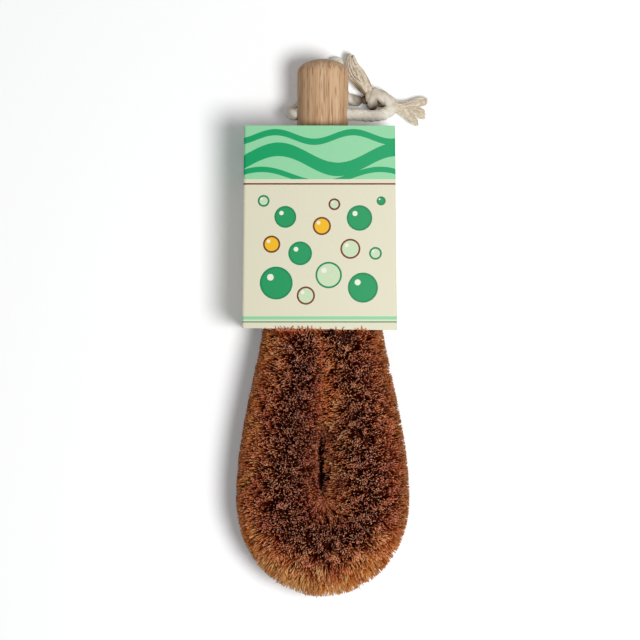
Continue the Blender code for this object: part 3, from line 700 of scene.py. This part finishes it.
# Where the dome faces along the rod it is darker: end grain, and painted shade along the dome's edge
# where it turns away
facing = add("SeparateXYZ", {0: coordinates.outputs["Normal"]})
end_grain_and_edge_shade = add("MapRange", {"Value": facing.outputs["Y"], "From Min": 0.75, "To Max": 0.30})
wood_colour = add("Mix", {"Factor": end_grain_and_edge_shade, 6: lined, 7: "#9a7048"}, data_type="RGBA")
pore_bump = add("Bump", {"Height": dashes, "Strength": 0.5, "Distance": 0.0001}, invert=True)
sanded = add("MapRange", {"Value": bands, "To Min": 0.52, "To Max": 0.72})
wood = add("BsdfPrincipled", {
    "Base Color": wood_colour, "Roughness": sanded, "Normal": pore_bump,
    "Specular IOR Level": 0.3})
add("OutputMaterial", {"Surface": wood})
handle.data.materials.append(rubberwood)
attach(handle, "brush")
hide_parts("handle")


# Hanging cord
# Soft cotton cord of three strands, put through the handle, led round behind its end and
# tied to itself in an overhand knot. Both ends are cut and have opened into loose yarn.

CORD_DIAMETER = 0.0053
CORD_STRANDS = 3
CORD_LAY = 0.0125
CORD_STEP = 0.0004
CORD_SIDES = 36
GROOVE_DEPTH = 0.15
CORD_LYING = CORD_DIAMETER / 2 + 0.0001
CORD_SAG = (CORD_HOLE_RADIUS - CORD_DIAMETER / 2 - 0.0003) * math.sqrt(0.5)
CORD_IN_HOLE = AXIS_HEIGHT - CORD_SAG
cord_route = [
    (HANDLE_RADIUS + 0.0178, 0.0010, 0.0062),
    (HANDLE_RADIUS + 0.0148, -0.0001, 0.0084),
    (HANDLE_RADIUS + 0.0105, -0.0009, 0.0124),
    (HANDLE_RADIUS + 0.0065, -0.0009, 0.0166),
    (HANDLE_RADIUS + 0.0028, -0.0007, CORD_IN_HOLE - 0.0004),
    (HANDLE_RADIUS - 0.0030, -CORD_SAG, CORD_IN_HOLE),
    (0.0, -CORD_SAG, CORD_IN_HOLE),
    (0.0030 - HANDLE_RADIUS, -CORD_SAG, CORD_IN_HOLE),
    (-HANDLE_RADIUS - 0.0009, -0.0005, CORD_IN_HOLE - 0.0009),
    (-HANDLE_RADIUS - 0.0023, 0.0000, 0.0150),
    (-HANDLE_RADIUS - 0.0019, 0.0012, 0.0096),
    (-HANDLE_RADIUS + 0.0010, 0.0036, 0.0044),
    (-0.0060, 0.0086, CORD_LYING),
    (-0.0016, 0.0150, CORD_LYING),
    (0.0022, 0.0212, CORD_LYING),
    (0.0058, 0.0237, CORD_LYING),
    (0.0083, 0.0214, CORD_LYING),
    (0.0087, 0.0165, CORD_LYING),
    (0.0089, 0.0115, CORD_LYING),
    (0.0104, 0.0081, CORD_LYING),
    (0.0138, 0.0067, CORD_LYING + 0.0006),
    (HANDLE_RADIUS + 0.0067, 0.0068, 0.0048),
]


def smooth_line(route, step):
    """Points about a step apart on a smooth curve through the route's points."""
    route = np.array(route, float)
    ends = np.vstack([2 * route[0] - route[1], route, 2 * route[-1] - route[-2]])
    fine = []
    for i in range(1, len(ends) - 2):
        before, here, there, after = ends[i - 1:i + 3]
        for t in np.linspace(0, 1, 24, endpoint=False):
            fine.append(0.5 * (2 * here + (there - before) * t
                               + (2 * before - 5 * here + 4 * there - after) * t ** 2
                               + (3 * here - before - 3 * there + after) * t ** 3))
    fine = np.array(fine + [route[-1]])
    along = run_of(fine)
    marks = np.linspace(0, along[-1], max(4, round(along[-1] / step) + 1))
    return np.stack([np.interp(marks, along, fine[:, k]) for k in range(3)], axis=1)


def carried_frames(line):
    """Two directions square to a line at each of its points, carried along without twisting."""
    ahead = unit(np.gradient(line, axis=0))
    side = np.cross(ahead[0], (0.0, 0.0, 1.0))
    if np.linalg.norm(side) < 0.1:
        side = np.cross(ahead[0], (0.0, 1.0, 0.0))
    sides = []
    for direction in ahead:
        side = unit(side - direction * side.dot(direction))
        sides.append(side)
    return np.array(sides), np.cross(ahead, sides)


def lay_cord(name, line, diameter, material):
    """A laid cord along a line: three strands seen as rounded ridges that wind round it."""
    side_a, side_b = carried_frames(line)
    along = run_of(line)
    turn = 2 * math.pi * np.arange(CORD_SIDES) / CORD_SIDES
    winding = turn[None, :] - 2 * math.pi * along[:, None] / CORD_LAY
    groove = np.abs(np.sin(CORD_STRANDS * winding / 2)) ** 5
    radius = diameter / 2 * (1 - GROOVE_DEPTH * groove)
    taper = np.minimum(1, np.sqrt(np.minimum(along, along[-1] - along) / (diameter / 2) + 0.04))
    radius = radius * taper[:, None]
    points = (line[:, None, :]
              + (radius * np.cos(turn))[:, :, None] * side_a[:, None, :]
              + (radius * np.sin(turn))[:, :, None] * side_b[:, None, :])
    piece = mesh_piece(name, points.reshape(-1, 3), *tube_faces(len(line), CORD_SIDES), material)

    # The map "lay" unrolls the cord: across it the turns round it, less those of the strands,
    # and along it the distance in units of 10 mm
    wound = []
    for here, there in zip(along, along[1:]):
        for side in range(CORD_SIDES):
            edge, far = side / CORD_SIDES, (side + 1) / CORD_SIDES
            wound += [(edge, here), (far, here), (far, there), (edge, there)]
    for end in (0.0, along[-1]):
        wound += [(side / CORD_SIDES, end) for side in range(CORD_SIDES)]
    wound = np.array(wound)
    wound[:, 0] -= wound[:, 1] / CORD_LAY
    wound[:, 1] *= 100
    layer = piece.data.uv_layers.new(name="lay")
    layer.data.foreach_set("uv", wound.astype(np.float32).ravel())
    return piece


def cotton(name, pale, darkened, pinch=None):
    """Unbleached cotton yarn: a matt warm white with a woolly surface. The yarns show as ridges 0.7 mm
    apart that lie nearly straight along the cord, with painted shade in the grooves. Painted shade
    darkens the cotton round the pinch."""
    material, add = new_material(name)
    coordinates = add("TexCoord")
    spot = coordinates.outputs["Object"]
    lay = add("SeparateXYZ", {0: coordinates.outputs["UV"]})
    slant = add("Math", {0: lay.outputs["Y"], 1: 14.0}, operation="MULTIPLY")
    yarn = add("Math", {0: lay.outputs["X"], 1: 21.0, 2: slant}, operation="MULTIPLY_ADD")
    wave = add("Math", {0: yarn, 1: 2 * math.pi}, operation="MULTIPLY")
    wave = add("Math", {0: wave}, operation="SINE")
    wool = add("TexNoise", {"Vector": spot, "Scale": 2600.0, "Detail": 4.0, "Roughness": 0.7})
    height = add("Math", {0: wave, 1: 0.30, 2: wool}, operation="MULTIPLY_ADD")
    bump = add("Bump", {"Height": height, "Strength": 0.85, "Distance": 0.00022})
    stain = add("TexNoise", {"Vector": spot, "Scale": 260.0, "Detail": 3.0})
    tint = add("MapRange", {"Value": stain, "From Min": 0.4, "From Max": 0.68})
    colour = add("Mix", {"Factor": tint, 6: pale, 7: darkened}, data_type="RGBA")
    # Painted shade: the grooves between the strands and yarns are darker
    hollow = add("MapRange", {"Value": height, "From Min": 0.15, "From Max": 0.6, "To Min": 0.78})
    shaded = add("Mix", {"Factor": 1.0, 6: colour, 7: hollow}, data_type="RGBA",
                 blend_type="MULTIPLY")
    if pinch:
        # Painted shade: the cotton darkens to brown round the pinch, the crease where the cord is
        # pressed
        away = add("VectorMath", {0: spot, 1: pinch}, operation="DISTANCE")
        crease_shade = add("MapRange", {
            "Value": away, "From Min": 0.0016, "From Max": 0.0056, "To Min": 1.0, "To Max": 0.0})
        shaded = add("Mix", {"Factor": crease_shade, 6: shaded, 7: "#4d3f31"}, data_type="RGBA")
    yarn_skin = add("BsdfPrincipled", {
        "Base Color": shaded, "Roughness": 0.95, "Specular IOR Level": 0.1, "Sheen Weight": 0.15,
        "Normal": bump})
    add("OutputMaterial", {"Surface": yarn_skin})
    return material


# The yarn is clean along the cord, and painted shade darkens it brown where the cord goes into the
# knot
KNOT_X = HANDLE_RADIUS + 0.0129
KNOT_Y = CORD_HOLE_Y + 0.0073
cord_cotton = cotton("cotton_cord", "#fdf7e8", "#ede3cc", (KNOT_X - 0.0066, KNOT_Y - 0.0006, 0.0040))
cord_line = smooth_line([(x, CORD_HOLE_Y + y, z) for x, y, z in cord_route], CORD_STEP)
hanging_cord = lay_cord("cord_loop", cord_line, CORD_DIAMETER, cord_cotton)
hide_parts("hanging_cord")


def from_knot(route, step=CORD_STEP):
    """The smooth line of a route that is measured from the middle of the knot."""
    return smooth_line([(KNOT_X + x, KNOT_Y + y, z) for x, y, z in route], step)


# The knot: one turn of cord drawn tight round the bundle, one strand over its right side, and the
# bundle seen low between them in a darker copy of the cotton, which is painted shade. Painted shade
# also darkens the knot's cotton round the pinch.
PINCH = (KNOT_X - 0.0008, KNOT_Y - 0.0046, 0.0068)
knot_cotton = cotton("cotton_knot", "#f0e7d8", "#d8c8b0", PINCH)
cotton_in_shade = cotton("cotton_in_painted_shade", "#8d7558", "#5e4b37", PINCH)
TURN_RADIUS = 0.0027
turned = 2 * math.pi * np.arange(27) / 24 - 2.4
turn_round = np.column_stack([
    -0.0026 - 0.0005 * np.cos(turned), TURN_RADIUS * np.cos(turned) - 0.0003,
    0.0053 + TURN_RADIUS * np.sin(turned)])
knot_routes = (
    ("turn", knot_cotton, 0.0049, turn_round),
    ("over", knot_cotton, 0.0058, [
        (-0.0036, 0.0022, 0.0048), (-0.0008, 0.0022, 0.0064), (0.0026, 0.0007, 0.0068),
        (0.0054, -0.0014, 0.0060), (0.0080, -0.0029, 0.0052), (0.0098, -0.0036, 0.0048)]),
    ("through", cotton_in_shade, 0.0044, [
        (-0.0075, -0.0006, 0.0046), (-0.0045, -0.0004, 0.0044), (-0.0003, -0.0010, 0.0034),
        (0.0036, -0.0020, 0.0032), (0.0070, -0.0030, 0.0040)]),
    ("under", cord_cotton, 0.0057, [
        (-0.0004, -0.0078, 0.0102), (0.0019, -0.0073, 0.0084), (0.0045, -0.0061, 0.0064),
        (0.0064, -0.0046, 0.0058), (0.0082, -0.0036, 0.0052), (0.0098, -0.0034, 0.0048)]),
)
knot_parts = [lay_cord("knot_" + label, from_knot(route), diameter, material)
              for label, material, diameter, route in knot_routes]
cord_knot = knot_parts[0]
only(cord_knot)
for part in knot_parts[1:]:
    part.select_set(True)
bpy.ops.object.join()
cord_knot.name = "cord_knot_wound"
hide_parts("cord_knot")

# Loose cotton yarn, a little greyer than the laid cord. Painted shade darkens the yarns on one side of
# an end, and a few yarns are soiled
yarn_cotton, add = new_material("cotton_yarn_loose")
spot = add("TexCoord").outputs["Object"]
fluff = add("TexNoise", {"Vector": spot, "Scale": 900.0, "Detail": 3.0})
warm = add("ValToRGB", {"Fac": fluff}, ((0.35, "#d2c0a6"), (0.62, "#efe3d0")))
shade_and_soil = add("Attribute", attribute_name="shade_and_soil")
shaded_and_soiled = add("Mix", {"Factor": shade_and_soil.outputs["Fac"], 6: warm, 7: "#8b7658"}, data_type="RGBA")
loose = add("BsdfPrincipled", {
    "Base Color": shaded_and_soiled, "Roughness": 0.95, "Specular IOR Level": 0.1, "Sheen Weight": 0.15})
add("OutputMaterial", {"Surface": loose})

FRAY_STEP = 0.0007
YARN_RINGS = 24
YARN_SIDES = 5
YARN_RADIUS = (0.00018, 0.00032)
YARN_UNEVENNESS = 0.0016
YARN_WANDER = 0.05
OUTERMOST = 0.94
FANNED_AT = 0.5
YARN_LOWEST = 0.0003


def frayed_end(name, route, widths, heights, yarns, tufts, seed, shaded_side=0):
    """A cut end of the cord: its strands open into yarns, which part into tufts at the tip.
    Each tuft has its place across the end, its half width there, and how far it is cut back."""
    rng = np.random.default_rng(seed)
    line = from_knot(route, FRAY_STEP)
    side_a, side_b = carried_frames(line)
    length = FRAY_STEP * (len(line) - 1)
    tuft = rng.integers(0, len(tufts), yarns)
    across, tuft_half, cut_back = np.array(tufts)[tuft].T

    # Where each yarn lies in the section: round at the root, then in a flat fan, then in a tuft
    radius = np.sqrt(rng.random(yarns)) * OUTERMOST
    turn = rng.uniform(0, 2 * math.pi, yarns)
    at_root = np.column_stack([radius * np.cos(turn), radius * np.sin(turn)])
    order = np.argsort(np.argsort(at_root[:, 0] + 10 * across)) / yarns * 2 - 1
    in_fan = np.column_stack([OUTERMOST * order, at_root[:, 1] * np.sqrt(1 - 0.7 * order ** 2)])
    in_tuft = np.column_stack([across + tuft_half * at_root[:, 0], 0.8 * at_root[:, 1]])
    uncut = 1 - (cut_back + rng.uniform(0, YARN_UNEVENNESS, yarns)) / length
    share = np.linspace(0, 1, YARN_RINGS)[None, :] * uncut[:, None]
    fan = np.clip(share / FANNED_AT, 0, 1)[:, :, None] ** 1.5
    to_tip = (1 - FANNED_AT - cut_back / length)[:, None]
    parting = np.clip((share - FANNED_AT) / to_tip, 0, 1)[:, :, None] ** 1.2
    offset = at_root[:, None, :] * (1 - fan) + in_fan[:, None, :] * fan
    offset = offset * (1 - parting) + in_tuft[:, None, :] * parting
    wander = YARN_WANDER * rng.normal(0, 1, (yarns, 3, 2))
    for k in range(3):
        wave = np.sin(share * math.pi * (k + 1.0))
        offset = offset + wander[:, k:k + 1, :] * wave[:, :, None]

    wide, high = (np.interp(share, np.linspace(0, 1, len(sizes)), sizes) / 2
                  for sizes in (widths, heights))
    whole = np.linspace(0, 1, len(line))
    along_line, towards_a, towards_b = (
        np.stack([np.interp(share, whole, values[:, k]) for k in range(3)], axis=2)
        for values in (line, side_a, side_b))
    lines = (along_line + (offset[:, :, 0] * wide)[:, :, None] * towards_a
             + (offset[:, :, 1] * high)[:, :, None] * towards_b)
    lines[:, :, 2] = np.maximum(lines[:, :, 2], YARN_LOWEST)
    radii = rng.uniform(*YARN_RADIUS, (yarns, 1)) * np.linspace(1.15, 0.75, YARN_RINGS)
    piece = mesh_piece(name, *thin_tubes(lines, radii, YARN_SIDES, rng), yarn_cotton)
    # Painted shade darkens the yarns along one side of the end, fading out along it; a few yarns are
    # darker all along as soil
    darkened = np.clip(shaded_side * 2.5 * order - 1.2, 0, 1)[:, None] * np.clip(1.5 - 2.5 * share, 0, 1)
    darkened += 0.45 * (rng.random((yarns, 1)) < 0.08)
    add_values(piece, "shade_and_soil", np.repeat(darkened, YARN_SIDES, axis=1))
    return piece


cord_end_upper = frayed_end(
    "cord_end_upper_frayed",
    [(-0.0034, 0.0026, 0.0060), (-0.0044, 0.0038, 0.0064), (-0.0068, 0.0071, 0.0066),
     (-0.0095, 0.0111, 0.0062), (-0.0114, 0.0152, 0.0060), (-0.0122, 0.0202, 0.0050)],
    widths=(0.0050, 0.0062, 0.0076, 0.0072, 0.0058, 0.0036),
    heights=(0.0044, 0.0052, 0.0056, 0.0052, 0.0044, 0.0032),
    yarns=210, tufts=((-0.25, 0.70, 0.0), (0.35, 0.60, 0.0008)), seed=5, shaded_side=-1)
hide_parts("cord_end_upper")
cord_end_right = frayed_end(
    "cord_end_right_frayed",
    [(0.0060, -0.0014, 0.0054), (0.0076, -0.0026, 0.0050), (0.0091, -0.0034, 0.0048),
     (0.0132, -0.0045, 0.0042), (0.0173, -0.0054, 0.0036), (0.0202, -0.0057, 0.0032),
     (0.0226, -0.0058, 0.0030)],
    widths=(0.0044, 0.0052, 0.0060, 0.0080, 0.0114, 0.0126, 0.0128),
    heights=(0.0046, 0.0050, 0.0052, 0.0048, 0.0044, 0.0040, 0.0036),
    yarns=230, tufts=((-0.76, 0.27, 0.0), (0.25, 0.30, 0.0006), (0.88, 0.18, 0.0034)), seed=6)
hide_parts("cord_end_right")


# Card sleeve
# One sheet of white-lined board, printed and lightly coated outside, creased four times and
# glued along a flap inside its left panel. It slips over the handle and the top of the coir.

SLEEVE_OFFSET = -0.0014
SLEEVE_WIDTH_FOOT = 0.0681
SLEEVE_WIDTH_TOP = 0.0662
BOARD = 0.0006
FLAP_INSET = BOARD + 0.0003
CREASE_RADIUS = 0.0012
FLAP_WIDTH = 0.014
FOOT_OUT_OF_SQUARE = 0.8
SAME_PLACE = 1e-5
sleeve_length = sleeve_high.y - sleeve_low.y
sleeve_left = SLEEVE_OFFSET - SLEEVE_WIDTH_FOOT / 2


def open_edges(sheet, *tests):
    """Opens a sheet for editing with the edges selected whose two ends both pass one test."""
    corners = sheet.data.vertices
    for corner in corners:
        corner.select = any(test(corner.co) for test in tests)
    for edge in sheet.data.edges:
        edge.select = any(all(test(corners[k].co) for k in edge.vertices) for test in tests)
    for face in sheet.data.polygons:
        face.select = False
    bpy.ops.object.mode_set(mode="EDIT")
    bpy.ops.mesh.select_mode(type="EDGE")


def on_crease(x, z):
    """A test for the points that lie on the line along Y at one x and z."""
    return lambda point: abs(point.x - x) + abs(point.z - z) < SAME_PLACE


bpy.ops.object.select_all(action="DESELECT")
bpy.ops.mesh.primitive_plane_add(size=1, location=(0, 0, 0))
sleeve = bpy.context.object
sleeve.name = "card_sleeve_printed"
sleeve.scale = (SLEEVE_DEPTH, sleeve_length, 1)
sleeve.rotation_euler = (0, -math.pi / 2, 0)
sleeve.location = (sleeve_left, SLEEVE_FOOT + sleeve_length / 2, SLEEVE_DEPTH / 2)
bpy.ops.object.transform_apply(location=True, rotation=True, scale=True)

# The left panel is there, and the front, the right panel, the back and the flap are folded on
x, z = sleeve_left, SLEEVE_DEPTH
creases = []
for run_x, run_z in ((SLEEVE_WIDTH_FOOT, 0), (0, -SLEEVE_DEPTH),
                     (FLAP_INSET - SLEEVE_WIDTH_FOOT, 0), (0, FLAP_WIDTH)):
    creases.append(on_crease(x, z))
    open_edges(sleeve, creases[-1])
    bpy.ops.mesh.extrude_edges_move(TRANSFORM_OT_translate={"value": (run_x, 0, run_z)})
    bpy.ops.object.mode_set(mode="OBJECT")
    x, z = x + run_x, z + run_z
open_edges(sleeve, *creases)
bpy.ops.mesh.bevel(offset=CREASE_RADIUS, segments=5, affect="EDGES")
bpy.ops.mesh.select_all(action="SELECT")
bpy.ops.mesh.normals_make_consistent(inside=False)
bpy.ops.mesh.select_all(action="DESELECT")
bpy.ops.object.mode_set(mode="OBJECT")

# The sleeve narrows towards its top, and its foot is cut a little out of square
open_edges(sleeve, lambda point: point.y > sleeve_high.y - SAME_PLACE)
bpy.ops.transform.resize(value=(SLEEVE_WIDTH_TOP / SLEEVE_WIDTH_FOOT, 1, 1),
                         center_override=(SLEEVE_OFFSET, 0, 0))
bpy.ops.object.mode_set(mode="OBJECT")
open_edges(sleeve, lambda point: point.y < sleeve_low.y + SAME_PLACE)
bpy.ops.transform.rotate(value=math.radians(FOOT_OUT_OF_SQUARE), orient_axis="Z",
                         center_override=(SLEEVE_OFFSET, SLEEVE_FOOT, 0))
bpy.ops.object.mode_set(mode="OBJECT")

# Coated side of the board: flat offset inks with a faint satin gloss. The print is laid out by
# the distance across, from the middle of the front and on round the sides, and down the card.
printed, add = new_material("printed_card")
spot = add("TexCoord").outputs["Object"]
card = add("SeparateXYZ", {0: spot})
from_middle = add("Math", {0: card.outputs["X"], 1: SLEEVE_OFFSET}, operation="SUBTRACT")
which_side = add("Math", {0: from_middle}, operation="SIGN")
round_side = add("Math", {0: SLEEVE_DEPTH, 1: card.outputs["Z"]}, operation="SUBTRACT")
across = add("Math", {0: which_side, 1: round_side, 2: from_middle}, operation="MULTIPLY_ADD")
down = add("Math", {0: sleeve_high.y, 1: card.outputs["Y"]}, operation="SUBTRACT")
BAND_DEPTH = 0.0235
BEYOND = -1.0


def inside(value, low, high):
    """1 where a value lies between two limits, and 0 elsewhere."""
    return add("Math", {0: value, 1: (low + high) / 2, 2: (high - low) / 2}, operation="COMPARE")


def printed_over(under, mask, hex_colour):
    """An ink laid over what is printed so far, where the mask is 1."""
    return add("Mix", {"Factor": mask, 6: under, 7: hex_colour}, data_type="RGBA")


def ribbon(wave_length, phase, middle, swing, half_width):
    """1 on a wavy ribbon that runs round the sleeve."""
    angle = add("Math", {0: across, 1: 2 * math.pi / wave_length, 2: phase}, operation="MULTIPLY_ADD")
    wave = add("Math", {0: angle}, operation="SINE")
    place = add("Math", {0: wave, 1: swing, 2: middle}, operation="MULTIPLY_ADD")
    return add("Math", {0: down, 1: place, 2: half_width}, operation="COMPARE")


def bubble(x, y):
    """Distance from the middle of a printed bubble, measured on the front of the card."""
    at = add("CombineXYZ", {0: across, 1: down})
    return add("VectorMath", {0: at, 1: (x, y, 0.0)}, operation="DISTANCE")


in_band = inside(down, -0.01, BAND_DEPTH)
waves = ribbon(0.052, 0.6, 0.0148, 0.0044, 0.0030)
for thinner in (ribbon(0.034, 2.0, 0.0050, 0.0021, 0.0014),
                ribbon(0.052, 1.5, 0.0222, 0.0030, 0.0012)):
    waves = add("Math", {0: waves, 1: thinner}, operation="MAXIMUM")
waves = add("Math", {0: waves, 1: in_band}, operation="MULTIPLY")
ink = "#e6e1c6"
for mask, colour in ((in_band, "#97daa8"), (waves, "#06a465"),
                     (inside(down, 0.0252, 0.0259), "#7a3b22"),
                     (inside(down, 0.0836, 0.0850), "#93d8a6"),
                     (inside(down, 0.0858, 0.0863), "#0b8a55")):
    ink = printed_over(ink, mask, colour)
bubbles = (
    (-0.0190, 0.0690, 0.0072), (-0.0060, 0.0745, 0.0040), (0.0040, 0.0655, 0.0058),
    (0.0190, 0.0710, 0.0066), (-0.0210, 0.0520, 0.0038), (-0.0085, 0.0560, 0.0052),
    (0.0135, 0.0540, 0.0044), (0.0245, 0.0560, 0.0028), (-0.0150, 0.0400, 0.0048),
    (0.0010, 0.0440, 0.0040), (0.0175, 0.0405, 0.0056), (0.0065, 0.0345, 0.0026),
    (-0.0245, 0.0330, 0.0026), (0.0270, 0.0330, 0.0020),
)
inks = (("#1c9c5e", "#0b8a55"), ("#cfe3bd", "#7a3b22"), ("#cfe3bd", "#0b8a55"),
        ("#1c9c5e", "#0b8a55"), ("#f6bf1c", "#7a3b22"))
for number, (x, y, radius) in enumerate(bubbles):
    gap = bubble(x, y)
    fill, rim = inks[number % len(inks)]
    ink = printed_over(ink, inside(gap, BEYOND, radius), fill)
    ink = printed_over(ink, inside(gap, radius - 0.0008, radius), rim)
    shine = bubble(x - 0.35 * radius, y - 0.35 * radius)
    ink = printed_over(ink, inside(shine, BEYOND, 0.2 * radius), "#f3f1e2")
pulp = add("TexNoise", {"Vector": spot, "Scale": 1500.0, "Detail": 3.0})
mottle = add("MapRange", {"Value": pulp, "To Min": 0.95, "To Max": 1.03})
mottled = add("Mix", {"Factor": 1.0, 6: ink, 7: mottle}, data_type="RGBA", blend_type="MULTIPLY")
pulp_bump = add("Bump", {"Height": pulp, "Strength": 0.12, "Distance": 0.0001})
satin = add("MapRange", {"Value": pulp, "To Min": 0.42, "To Max": 0.56})
coat = add("BsdfPrincipled", {
    "Base Color": mottled, "Roughness": satin, "Normal": pulp_bump, "Specular IOR Level": 0.2})
add("OutputMaterial", {"Surface": coat})

# Bare side and cut edges of the board: grey-white pulp, quite matt
board_back, add = new_material("bare_board")
spot = add("TexCoord").outputs["Object"]
pulp = add("TexNoise", {"Vector": spot, "Scale": 800.0, "Detail": 5.0, "Roughness": 0.7})
grey = add("ValToRGB", {"Fac": pulp}, ((0.3, "#bdb6a4"), (0.7, "#dcd6c6")))
rough_board = add("BsdfPrincipled", {
    "Base Color": grey, "Roughness": 0.9, "Specular IOR Level": 0.2})
add("OutputMaterial", {"Surface": rough_board})

sleeve.data.materials.append(printed)
sleeve.data.materials.append(board_back)
only(sleeve)
board = sleeve.modifiers.new("board", "SOLIDIFY")
board.thickness = BOARD
board.offset = -1.0
board.use_even_offset = True
board.material_offset = 1
board.material_offset_rim = 1
bpy.ops.object.modifier_apply(modifier="board")
bpy.ops.object.shade_smooth_by_angle(angle=math.radians(30))
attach(sleeve, "sleeve")
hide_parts("card_sleeve")
